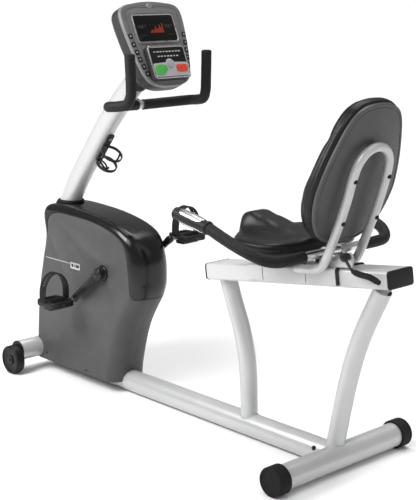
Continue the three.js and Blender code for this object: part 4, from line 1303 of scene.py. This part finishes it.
def add_display_marks():
    bars, blocks, dots = [], [], []
    for index, high in enumerate(BAR_HEIGHTS):
        x = -22 + 5.6 * index
        for row in range(int(high / 2.2)):
            cell = [(x + a, 40 + 2.6 * row + b) for a, b in rounded(2.1, -0.9, 0.9, 0.3, 2)]
            bars.append(slab(cell, 0.6, 0.85))
    for centre, count in ((-55, 4), (53, 4)):
        for digit in range(count):
            x = centre - 13 + 8.5 * digit
            for dx, dy, wide, high in seven_segments(digit + count):
                cell = [(x + dx + a, 60 + dy + b) for a, b in rounded(wide, -high, high, 0.2, 2)]
                blocks.append(slab(cell, 0.6, 0.85))
    for centre in (-50, 58):
        for column in range(6):
            cell = [(centre - 12 + 4.6 * column + a, 32 + b) for a, b in rounded(1.5, -0.7, 0.7, 0.3, 2)]
            dots.append(slab(cell, 0.6, 0.85))
    piece("display_bars", joined(*bars), LED_RED, "base", place=CONSOLE)
    piece("display_digits", joined(*blocks), LED_DIM, "base", place=CONSOLE)
    piece("display_dots", joined(*dots), LED_GREEN, "base", place=CONSOLE)


def seven_segments(number):
    """Centres and half sizes of the lit strokes of a digit, 5 wide and 9 high."""
    strokes = {
        "top": (0, 4.4, 1.9, 0.5),
        "middle": (0, 0, 1.9, 0.5),
        "bottom": (0, -4.4, 1.9, 0.5),
        "high_left": (-2.5, 2.2, 0.5, 1.7),
        "high_right": (2.5, 2.2, 0.5, 1.7),
        "low_left": (-2.5, -2.2, 0.5, 1.7),
        "low_right": (2.5, -2.2, 0.5, 1.7),
    }
    unlit = {
        0: ("middle",),
        4: ("top", "bottom", "low_left"),
        5: ("high_right", "low_left"),
        6: ("high_right",),
        7: ("middle", "bottom", "high_left", "low_left"),
    }
    return [place for name, place in strokes.items() if name not in unlit.get(number, ())]


def add_podium():
    walls = slab(rounded(76, -119, -9, 12, 8), -2, PODIUM - 1.2, 1.5, 4)
    body = raw_piece("podium_wall", walls, CONSOLE)
    finish_mesh(body, CONSOLE_DARK, "base", ())
    outer_edge = rounded(74.5, -117.5, -10.5, 11, 8)
    inner_edge = rounded(69.8, -112.8, -17, 7, 8)
    bezel = framed(outer_edge, inner_edge, PODIUM - 3, PODIUM + 0.8, 1.1)
    piece("podium_bezel", bezel, TRIM_SILVER, "base", place=CONSOLE)
    overlay = rounded(69.6, -112.6, -17.2, 7, 8)
    body = raw_piece("key_sheet", slab(overlay, PODIUM - 3, PODIUM + 0.2, 0.2), CONSOLE)
    keypad = keypad_outline()
    boolean(body, raw_piece("keypad_cut", slab(keypad, PODIUM - 0.5, PODIUM + 5), CONSOLE))
    finish_mesh(body, OVERLAY_BLACK, "base", ["key_overlay"])
    sheet = slab(offset_outline(keypad, 0.15), PODIUM - 1, PODIUM + 0.45, 0.3)
    pad = raw_piece("keypad_sheet", sheet, CONSOLE)
    for plan, _, _, _, _ in button_plans():
        boolean(pad, raw_piece("well", slab(offset_outline(plan, -0.5), PODIUM - 0.8, PODIUM + 5), CONSOLE))
    finish_mesh(pad, KEYPAD_GREY, "base")
    marks = []
    for row, (v, count, pitch, start) in enumerate(((-31, 9, 12.6, -51), (-46, 7, 12.6, -38))):
        for column in range(count):
            wide = 4.6 if (column + row) % 3 else 3.4
            x = start + pitch * column
            mark = [(x + a, v + b) for a, b in rounded(wide, -1.9, 1.9, 1.4, 4)]
            marks.append(slab(mark, PODIUM, PODIUM + 0.45, 0.15))
    piece("key_legends", joined(*marks), LEGEND_GREY, "base", place=CONSOLE)
    for plan, name, look, body_name, node in button_plans():
        button = slab(plan, PODIUM - 5.5, PODIUM + 3.6, 1.6, 4, bottom_edge=0.3)
        piece(name, button, look, body_name, [node], CONSOLE)


def keypad_outline():
    """The pale lower half of the key sheet, which rises in a dome around the round pad."""
    points = [(-69, -112), (69, -112), (69, -71), (64, -68), (22, -66)]
    for i in range(9):
        turn = math.radians(20 + 140 * i / 8)
        points.append((18 * math.cos(turn), -72 + 18 * math.sin(turn)))
    points += [(-22, -66), (-64, -68), (-69, -71)]
    return points


def button_plans():
    start = smooth_loop([(-62, -103), (-33, -103), (-16, -84), (-22, -76), (-56, -74), (-64, -82)], 5)
    stop = [(x + 43, y) for x, y in rounded(22, -98, -75, 9, 8)]
    dial = [(x, y - 72) for x, y in circle(12, 48)]
    return (
        (start, "start_cap", GREEN, "start_key", "start_button"),
        (stop, "stop_cap", RED, "stop_key", "stop_button"),
        (dial, "select_cap", PAD_LILAC, "select_key", "select_pad"),
    )


EDGE_KEY_ROWS = (30, 3, -22, -46, -70, -93)


def add_edge_keys():
    rims, caps, marks = [], [], []
    for v in EDGE_KEY_ROWS:
        for sign in (-1, 1):
            u = sign * (console_half_width(v) - 10.5)
            lean = math.atan2(sign * 10, 65)
            place = Matrix.Translation((u, v, 0)) @ Matrix.Rotation(-lean, 4, "Z")
            rim = framed(rounded(7.8, -8.4, 8.4, 3, 5), rounded(5.6, -6.2, 6.2, 2, 5), -1, 1.2, 0.6)
            rims.append(moved(rim, place))
            caps.append(moved(slab(rounded(5.3, -5.9, 5.9, 2, 5), -1, 1.5, 0.9), place))
            marks.append(moved(slab(rounded(2.2, -2.4, 2.4, 1.4, 4), 1.2, 1.75, 0.2), place))
    piece("edge_key_rims", joined(*rims), TEXTURED_BLACK, "base", place=CONSOLE)
    piece("edge_key_caps", joined(*caps), CONSOLE_DARK, "base", place=CONSOLE)
    piece("edge_key_marks", joined(*marks), LEGEND_GREY, "base", place=CONSOLE)


# ---------------------------------------------------------------- handlebar in front of the rider
FRONT_BAR = (
    (-119, -158, 1152), (-118, -155, 1062), (-120, -155, 1030), (-133, -158, 1006),
    (-167, -164, 997), (-205, -169, 993), (-228, -155, 990), (-246, -120, 987),
    (-262, -60, 984),
)
FRONT_MIDDLE = (-268, 0, 983)


def foam_piece(name, points, body, node, steps=6):
    """A foam sleeve: slightly swollen, with soft ends and a moulding line along it."""
    line = smooth_line(points, steps)
    section = []
    for x, y in circle(FOAM_R, 40):
        flat = 0.35 if abs(y) < 1.2 and x > 0 else 0
        section.append((x - flat, y))
    solid = sweep(line, section, round_ends=2.2)
    obj = piece(name, solid, FOAM, body, [node], sharp=60)
    return obj


def add_front_handlebar():
    path = both_halves(FRONT_BAR, FRONT_MIDDLE)
    bar = sweep(smooth_line(path, 6), circle(BAR_R, 40), round_ends=1)
    stem = sweep([(-268, 0, 983), (-330, 0, 989)], circle(15, 40))
    clamp = sweep([(-286, 0, 985), (-279, 0, 984.4)], circle(19, 40), round_ends=1)
    solid = joined(bar, stem, clamp)
    piece("front_bar", solid, SILVER, "base", ["handlebar_front"])
    for side, sign in SIDES:
        half = FRONT_BAR if sign < 0 else mirror_y(FRONT_BAR)
        inner_end = (-265, sign * 17, 983.4)
        points = [(half[0][0], half[0][1], half[0][2] + 2), *half[:-1], inner_end]
        foam_piece("front_grip_" + side, points, "base", "foam_grip_front_" + side)
        top = Vector(half[0]) + Vector((0, 0, 3))
        cap = disc(13.5, 0, 3.4, 1.6, 40)
        piece("front_plug_" + side, cap, TEXTURED_BLACK, "base", place=Matrix.Translation(top))
        direction = Vector(inner_end) - Vector(half[-2])
        ring = lathe([(13, 0), (16.9, 0), (16.9, 3.2), (15.6, 4.4), (13, 4.4)], 40)
        place = aimed(Vector(inner_end), direction)
        piece("front_collar_" + side, ring, TEXTURED_BLACK, "base", place=place)


# ---------------------------------------------------------------- bottle cage
CAGE_LEAN = math.atan2(0.624, 0.781)
CAGE = frame_of(
    (math.cos(CAGE_LEAN), 0, -math.sin(CAGE_LEAN)),
    (0, 1, 0),
    (math.sin(CAGE_LEAN), 0, math.cos(CAGE_LEAN)),
    (-478, 0, 851),
)


def add_bottle_cage():
    centre = Matrix.Translation((78, 0, 0))
    hoops = []
    for low, high in ((-45, -34), (3, 13)):
        ring = [(33.6, low), (36, low), (37, low + 1), (37, high - 1), (36, high), (33.6, high)]
        hoops.append(moved(lathe(ring, 64), centre))
    spine = slab(rounded(13, -60, 58, 6, 5), 0, 6, 1.5)
    spine = moved(spine, frame_of((0, 1, 0), (0, 0, 1), (1, 0, 0), (36.6, 0, 0)))
    stays = []
    for sign in (-1, 1):
        line = [(79, sign * 35.3, -40), (80, sign * 35.8, -15), (79, sign * 35.3, 8)]
        stays.append(tube(line, 3.2, 6, 16, 1.2))
        line = [(43, sign * 8, -57), (60, sign * 14, -58), (84, sign * 8, -56), (88, sign * 6, -47)]
        stays.append(tube(line, 3, 6, 16, 1.2))
    foot = [(44, 0, -57), (66, 0, -59), (86, 0, -57), (89, 0, -47)]
    stays.append(tube(foot, 3.6, 6, 16, 1.4))
    solid = moved(joined(spine, *hoops, *stays), CAGE)
    piece("bottle_holder", solid, TEXTURED_BLACK, "base", ["bottle_cage"])
    outward = CAGE.col[0].to_3d()
    for index, z in enumerate((-38, 40)):
        screw(f"bottle_screw_{index}", CAGE @ Vector((42.8, 0, z)), outward, 4, 2.4, material=STEEL)


# ---------------------------------------------------------------- seat
SEAT_PLAN_HALF = (
    (522, 0), (521, 120), (510, 165), (482, 189), (430, 196), (380, 189), (338, 162),
    (300, 120), (266, 76), (242, 36), (234, 0),
)
SEAT_BASE_Z = 640
SEAT_RIM_Z = 672
SEAT_MIDDLE_X = 392
RIDGE = ((236, 690), (250, 708), (276, 714), (330, 701), (400, 687), (484, 675), (540, 670))


def seat_outline(steps=8):
    half = SEAT_PLAN_HALF
    loop = list(half) + [(x, -y) for x, y in half[1:-1][::-1]]
    return smooth_loop(loop, steps)


def ridge_height(x):
    if x <= RIDGE[0][0]:
        return RIDGE[0][1]
    for (x0, z0), (x1, z1) in zip(RIDGE, RIDGE[1:]):
        if x <= x1:
            return z0 + (z1 - z0) * smoothstep(x, x0, x1)
    return RIDGE[-1][1]


def seat_top(x, y):
    """Height of the saddle: a raised nose that fades into a shallow dish."""
    nose = 1 - smoothstep(abs(y), 30, 74)
    dish = 5 * smoothstep(abs(y), 70, 190) + 4 * smoothstep(x, 440, 520)
    level = SEAT_RIM_Z - 7 + dish
    return level + (ridge_height(x) - level) * nose


def seat_solid():
    """Concentric rings from the middle of the top, round the rim and under the edge."""
    outline = seat_outline()
    rings = []
    for k in range(1, 14):
        rings.append(seat_ring(outline, 0.945 * math.sin(k / 13 * math.pi / 2), 1))
    for k in range(1, 7):
        turn = math.pi / 2 * k / 6
        rings.append(seat_ring(outline, 0.945 + 0.055 * math.sin(turn), 1 - 0.42 * (1 - math.cos(turn))))
    for reach, lift in ((1, 0.3), (0.998, 0.0), (0.985, -0.26), (0.955, -0.4), (0.92, -0.3), (0.905, 0)):
        rings.append(seat_ring(outline, reach, lift))
    for reach in (0.8, 0.5, 0.25, 0.08):
        rings.append(seat_ring(outline, reach, 0.03))
    return stacked(rings)


def seat_ring(outline, reach, lift):
    ring = []
    for x, y in outline:
        px = SEAT_MIDDLE_X + (x - SEAT_MIDDLE_X) * reach
        py = y * reach
        top = seat_top(px, py) if lift > 0 else SEAT_RIM_Z
        ring.append((px, py, SEAT_BASE_Z + 1 + (top - SEAT_BASE_Z - 1) * lift))
    return ring


PUFF_VOXEL = 0.0055
PUFF_FRAMES = 20
BENDING = 12
STRETCH = 40


def puff(obj, pressure, cap, held):
    """Inflates a padded piece a little with cloth simulation; held(point) tells what rests."""
    remesh = obj.modifiers.new("remesh", "REMESH")
    remesh.mode = "VOXEL"
    remesh.voxel_size = PUFF_VOXEL
    evaluated(obj)
    group = obj.vertex_groups.new(name="held")
    resting = [v.index for v in obj.data.vertices if held(v.co / MM)]
    group.add(resting, 1.0, "REPLACE")
    cloth = obj.modifiers.new("cloth", "CLOTH")
    cloth.settings.use_pressure = True
    cloth.settings.uniform_pressure_force = pressure
    cloth.settings.effector_weights.gravity = 0
    cloth.settings.vertex_group_mass = "held"
    cloth.settings.quality = 5
    cloth.settings.bending_stiffness = BENDING
    cloth.settings.tension_stiffness = STRETCH
    cloth.settings.compression_stiffness = STRETCH
    start = [v.co.copy() for v in obj.data.vertices]
    for number in range(1, PUFF_FRAMES + 1):
        bpy.context.scene.frame_set(number)
    graph = bpy.context.evaluated_depsgraph_get()
    result = [v.co.copy() for v in obj.evaluated_get(graph).data.vertices]
    obj.modifiers.clear()
    bpy.context.scene.frame_set(1)
    for vertex, before, after in zip(obj.data.vertices, start, result):
        step = after - before
        if step.length > cap * MM:
            step = step * (cap * MM / step.length)
        vertex.co = before + step
    smooth = obj.modifiers.new("smooth", "SMOOTH")
    smooth.iterations = 12
    smooth.factor = 0.5
    obj.modifiers.new("subdivide", "SUBSURF").levels = 1
    obj.modifiers["subdivide"].render_levels = 1
    return evaluated(obj)


def shaped(obj, shift):
    """Moves each vertex along its normal by shift(point, normal) millimetres."""
    mesh = obj.data
    normals = [v.normal.copy() for v in mesh.vertices]
    for vertex, normal in zip(mesh.vertices, normals):
        vertex.co += normal * shift(vertex.co / MM, normal) * MM
    mesh.update()
    return obj


def valley(distance, width):
    """A narrow dip, 1 at the line and 0 a few widths away."""
    return math.exp(-((distance / width) ** 2))


def add_seat():
    cushion = raw_piece("saddle", seat_solid())
    puff(cushion, 1.5, 2.5, lambda p: p.z < SEAT_BASE_Z + 4)
    seam_z = SEAT_BASE_Z + 10

    def seam(point, normal):
        edge = valley(point.z - seam_z, 2.2) if abs(normal.z) < 0.75 else 0
        return -1.5 * edge

    shaped(cushion, seam)
    finish_mesh(cushion, VINYL, "seat", ["seat_cushion"], 80)
    pan_outline = offset_outline(seat_outline(5), 22)
    pan = slab(pan_outline, SEAT_BASE_Z - 17, SEAT_BASE_Z - 0.4, 1, 4, bottom_edge=6)
    piece("saddle_pan", pan, TEXTURED_BLACK, "seat", ["seat_pan"])


CARRIAGE_FROM = 190
CARRIAGE_TO = 546
CARRIAGE_HALF = 57
CARRIAGE_SEAMS = (255, 424)


def channel(half, top, wall, low):
    """A section of the sleeve that straddles the rail, open below."""
    outer = [(half, low)]
    for i in range(7):
        turn = math.pi / 2 * i / 6
        outer.append((half - 9 + 9 * math.cos(turn), top - 9 + 9 * math.sin(turn)))
    outer += [(-x, y) for x, y in outer[::-1]]
    inner_half, inner_top = half - wall, top - wall
    inner = [(-inner_half, low)]
    for i in range(7):
        turn = math.pi / 2 * (1 - i / 6)
        inner.append((-(inner_half - 7 + 7 * math.cos(turn)), inner_top - 7 + 7 * math.sin(turn)))
    inner = inner[:1] + inner[1:][::-1]
    inner = [(-inner_half, low)] + sorted(inner[1:], key=lambda p: (p[1], p[0]))
    inner += [(-x, y) for x, y in inner[::-1]]
    return outer + inner


def add_carriage():
    top = RAIL_HIGH / 2 + 4.6
    cuts = (CARRIAGE_FROM, *CARRIAGE_SEAMS, CARRIAGE_TO - 9)
    shells = []
    for index, (start, end) in enumerate(zip(cuts, cuts[1:])):
        lowered = -15 - 1.5 * index
        shape = channel(CARRIAGE_HALF, top, 4, lowered)
        shells.append(slab(shape, start + 1.3, end - 1.3, 0))
    place = RAIL_SECTION
    piece("carriage_sleeve", joined(*shells), RAIL_PAINT, "seat", place=place)
    lining = slab(channel(CARRIAGE_HALF - 1.2, top - 1.2, 2.6, -13), CARRIAGE_FROM + 3, CARRIAGE_TO - 8, 0)
    tail = slab(channel(CARRIAGE_HALF + 0.3, top + 0.2, 4, -19), CARRIAGE_TO - 9.5, CARRIAGE_TO, 0)
    solid = joined(lining, tail)
    piece("carriage_lining", solid, TEXTURED_BLACK, "seat", ["seat_carriage"], place)
    risers = []
    for x in (325, 470):
        for sign in (-1, 1):
            box = slab([(x, 575), (x + 34, 575), (x + 34, 622.4), (x, 622.4)], -4, 4, 1)
            risers.append(moved(box, Matrix.Translation((0, sign * 42, 0)) @ UPRIGHT))
    piece("carriage_risers", joined(*risers), TEXTURED_BLACK, "seat")
    supports = []
    for sign in (-1, 1):
        saddle = []
        for i in range(13):
            turn = math.pi * (1 + i / 12)
            saddle.append((573 + 13.2 * math.cos(turn), 640 + 13.2 * math.sin(turn)))
        block = [(586.5, 640), (588, 606), (558, 600), (558, 640)]
        outline = saddle + block
        cradle = slab(outline[::-1], -12, 12, 1)
        supports.append(moved(cradle, Matrix.Translation((0, sign * 32, 0)) @ UPRIGHT))
        strap = []
        for radius, turns in ((16.4, range(0, 13)), (13.1, range(12, -1, -1))):
            for i in turns:
                turn = math.pi * i / 12
                strap.append((573 + radius * math.cos(turn), 640 + radius * math.sin(turn)))
        clamp = slab(strap, -9, 9, 0.8)
        supports.append(moved(clamp, Matrix.Translation((0, sign * 32, 0)) @ UPRIGHT))
    piece("carriage_supports", joined(*supports), SILVER, "seat")
    for side, sign in SIDES:
        for index, x in enumerate((560, 586)):
            at = Vector((x, sign * 52, 622))
            screw(f"clamp_screw_{side}_{index}", at, (0, sign, 0.3), 5, 3, "seat")
    plate = [(600, 598), (632, 602), (644, 611), (680, 616), (683, 640), (678, 652)]
    plate += [(668, 657), (657, 652), (600, 612)]
    lug = slab(plate, -3.5, 3.5, 1)
    lug = moved(lug, Matrix.Translation((0, -43, 0)) @ UPRIGHT)
    pin = sweep([(668, -76, 646), (668, -44, 646)], circle(4.8, 24), round_ends=1)
    piece("lever_bracket", lug, SILVER, "seat")
    piece("lever_pin", pin, BLACK_PAINT, "seat")


# ---------------------------------------------------------------- handles beside the seat
SEAT_BAR = (
    (232, -280, 734), (296, -280, 723), (367, -280, 709), (425, -280, 690), (482, -279, 673),
    (520, -272, 661), (548, -254, 648), (566, -226, 641), (573, -185, 640), (573, -100, 640),
)


def add_seat_handlebar():
    path = both_halves(SEAT_BAR)
    bar = sweep(smooth_line(path, 6), circle(BAR_R, 40), round_ends=1)
    piece("seat_bar", bar, ALUMINIUM, "seat", ["seat_handlebar"])
    for side, sign in SIDES:
        half = SEAT_BAR if sign < 0 else mirror_y(SEAT_BAR)
        points = [(365, sign * 280, 709.6), *half[3:9], (573, sign * 128, 640)]
        foam_piece("seat_grip_" + side, points, "seat", "foam_grip_seat_" + side)
        ring = lathe([(13, 0), (17, 0), (17, 3.4), (15.8, 4.6), (13, 4.6)], 40)
        place = aimed((573, sign * 128, 640), (0, -sign, 0))
        piece("seat_collar_" + side, ring, TEXTURED_BLACK, "seat", place=place)
        add_pulse_grip(side, sign)


def add_pulse_grip(side, sign):
    start = Vector((362, 280 * sign, 710.2))
    end = Vector((223, 280 * sign, 735.7))
    length = (end - start).length
    place = aimed(start, end - start)
    profile = [(0, -2), (17.5, -2), (19.4, 0), (20, 4), (19.6, 7), (17.6, 9), (17.2, 12)]
    for i in range(1, 16):
        t = i / 16
        profile.append((17.2 + 3.4 * math.sin(math.pi * t), 12 + (length - 24) * t))
    profile += [(17.2, length - 12), (18, length - 10), (18.2, length - 6)]
    for i in range(1, 7):
        turn = math.pi / 2 * i / 6
        profile.append((18.2 * math.cos(turn), length - 6 + 5.6 * math.sin(turn)))
    name = "pulse_body_" + side
    node = "pulse_grip_" + side
    body = piece(name, lathe(profile, 56), TEXTURED_BLACK, "seat", [node], place)
    plates = []
    for facing in (math.pi / 2, -math.pi / 2):
        plates.append(pulse_plate(length, facing, place))
    piece("pulse_plates_" + side, joined(*plates), ALUMINIUM, "seat")
    return body


def pulse_plate(length, facing, place):
    """A curved contact plate let into the top or the underside of the grip."""
    to_up = place.to_3x3().inverted() @ Vector((0, 0, 1))
    base = math.atan2(to_up.y, to_up.x) + (facing - math.pi / 2)
    rings = []
    steps = 22
    for k in range(steps + 1):
        t = k / steps
        along = 20 + (length - 44) * t
        swell = 17.2 + 3.4 * math.sin(math.pi * (along - 12) / (length - 24))
        half = math.radians(56) * min(1, math.sqrt(max(0.0, 1 - (2 * t - 1) ** 6)) + 0.05)
        outer, inner = [], []
        for i in range(13):
            turn = base - half + 2 * half * i / 12
            lift = 0.75 * (1 - (2 * i / 12 - 1) ** 6) + 0.05
            outer.append(((swell + lift) * math.cos(turn), (swell + lift) * math.sin(turn), along))
            inner.append(((swell - 1.5) * math.cos(turn), (swell - 1.5) * math.sin(turn), along))
        rings.append(outer + inner[::-1])
    return moved(stacked(rings), place)


# ---------------------------------------------------------------- seat lever
def add_lever():
    pivot = joint_place("lever_lift")
    barrel = joined(
        moved(disc(10.4, -74, -49, 2, 40), Matrix.Translation(pivot) @ UPRIGHT_ACROSS),
        moved(disc(12.5, -70, -64, 1.5, 40), Matrix.Translation(pivot) @ UPRIGHT_ACROSS),
    )
    shank = tube([(pivot.x, -66, pivot.z), (680, -67, 634), (698, -69, 617), (716, -71, 611)], 4.2, 8, 20)
    piece("lever_arm", joined(barrel, shank), BLACK_PAINT, "lever", ["seat_lever"])
    grip = smooth_line([(704, -70, 614), (730, -72, 611), (765, -74, 610), (798, -76, 602)], 10)

    def swell(t):
        ends = min(1, 0.72 + 2.2 * t) * min(1, 0.8 + 2.5 * (1 - t))
        return ends * (1 + 0.05 * math.cos(t * 2 * math.pi * 9))

    handle = sweep(grip, [(x * 8.4, y * 8.4) for x, y in circle(1, 28)], swell, round_ends=3)
    piece("lever_grip", handle, RUBBER, "lever")


UPRIGHT_ACROSS = frame_of((1, 0, 0), (0, 0, -1), (0, 1, 0))


# ---------------------------------------------------------------- backrest
BACK_HALF = (
    (0, -146), (62, -142), (104, -122), (136, -88), (156, -44), (166, 8), (163, 48), (150, 112),
    (133, 166), (113, 216), (91, 248), (56, 268), (0, 275),
)
BACK_TUBE = (
    (500, -70.3, 588), (560, -70.3, 596), (592, -70.3, 608), (612, -70.3, 640),
    (633, -70.3, 690), (656, -70.3, 745), (680, -70.3, 812), (696, -70.3, 866), (708, -62, 906),
    (716, -38, 934),
)


def back_outline(steps=8):
    half = BACK_HALF[1:-1]
    points = [BACK_HALF[0], *half, BACK_HALF[-1], *[(-x, y) for x, y in half[::-1]]]
    return smooth_loop(points, steps)


def back_solid():
    """A pad that is thickest at the small of the back, with a rolled rim."""
    outline = back_outline()
    rings = []
    for reach in (0.1, 0.4, 0.7, 0.88, 0.95, 0.985):
        rings.append(back_ring(outline, reach, -11))
    for depth, reach in ((-14, 0.995), (-22, 1.0), (-32, 1.0), (-42, 0.99)):
        rings.append(back_ring(outline, reach, depth))
    for i in range(1, 13):
        turn = math.pi / 2 * i / 12
        rings.append(back_ring(outline, 0.99 * math.cos(turn) ** 0.55 + 0.002, -42 - 26 * math.sin(turn)))
    return stacked(rings)


def back_ring(outline, reach, depth):
    centre_y = 55
    ring = []
    for x, y in outline:
        px, py = x * reach, centre_y + (y - centre_y) * reach
        lumbar = 6 * valley(py + 40, 80) if depth < -42 else 0
        hollow = 5 * (1 - (px / 166) ** 2) * smoothstep(-depth, 42, 66)
        ring.append((px, py, depth - lumbar + hollow * 0.6))
    return ring


def add_backrest():
    pad = raw_piece("back_pad", back_solid(), BACK)
    inverse = BACK.inverted()
    puff(pad, 3.5, 6, lambda p: (inverse @ p).z > -13)
    outline = [Vector((x, y, 0)) for x, y in back_outline(3)]

    def seams(point, normal):
        local = inverse @ Vector(point)
        side_seam = valley(local.z + 27, 2.2)
        facing = -(inverse.to_3x3() @ normal).z
        if facing > 0.6:
            nearest = min((Vector((local.x, local.y, 0)) - p).length for p in outline)
            return -1.6 * valley(nearest - 44, 3.2)
        return -1.3 * side_seam if facing > -0.75 else 0

    shaped(pad, seams)
    finish_mesh(pad, VINYL, "seat", ["back_cushion"], 80)
    shell = [(x * 0.965, y * 0.972 + 1.5) for x, y in back_outline()]
    board = slab(shell, -10.6, 0, 3.6, 5, bottom_edge=0.6)
    body = raw_piece("back_board", board, BACK)
    inner = offset_outline(shell, 9)
    recess = raw_piece("recess", framed(inner, offset_outline(inner, 2.2), -1.5, 4, 0), BACK)
    boolean(body, recess)
    softened(body, 0.6, 2, 50)
    finish_mesh(body, PANEL_GREY, "seat", ["back_panel"], 45)
    path = both_halves(BACK_TUBE, (719, 0, 945))
    hoop = sweep(smooth_line(path, 8), circle(BAR_R, 40), round_ends=2)
    piece("back_hoop", hoop, SILVER, "seat", ["back_tube"])
    for side, sign in SIDES:
        for index, (x, z) in enumerate(((694, 860), (655, 742))):
            at = Vector((x + 11.5, sign * 70.3, z - 3.8))
            name = f"back_screw_{side}_{index}"
            screw(name, at, (math.cos(BACK_LEAN), 0, -math.sin(BACK_LEAN)), 5.2, 3.2, "seat")


# ---------------------------------------------------------------- mechanism inside the housing
INSIDE_LOOKS = {
    "inner_frame": GREY_PAINT,
    "flywheel": CAST_IRON,
    "flywheel_axle": STEEL,
    "flywheel_pulley": ALUMINIUM,
    "drive_belt": BELT_RUBBER,
    "brake_arm": STEEL,
    "brake_motor": TEXTURED_BLACK,
    "crank_axle": STEEL,
    "drive_pulley": TEXTURED_BLACK,
}


def dress_inside():
    for node, look in INSIDE_LOOKS.items():
        mesh = frame["nodes"][node].data
        mesh.materials.clear()
        mesh.materials.append(look)


add_tubes()
add_welds()
add_frame_screws()
add_rear_feet()
add_wheels()
add_rail()
add_mast()
add_shroud()
add_cranks()
add_console_back()
add_console_face()
add_front_handlebar()
add_bottle_cage()
add_seat()
add_carriage()
add_seat_handlebar()
add_lever()
add_backrest()
dress_inside()


def corners(box):
    return [list(box[0]), list(box[1])]
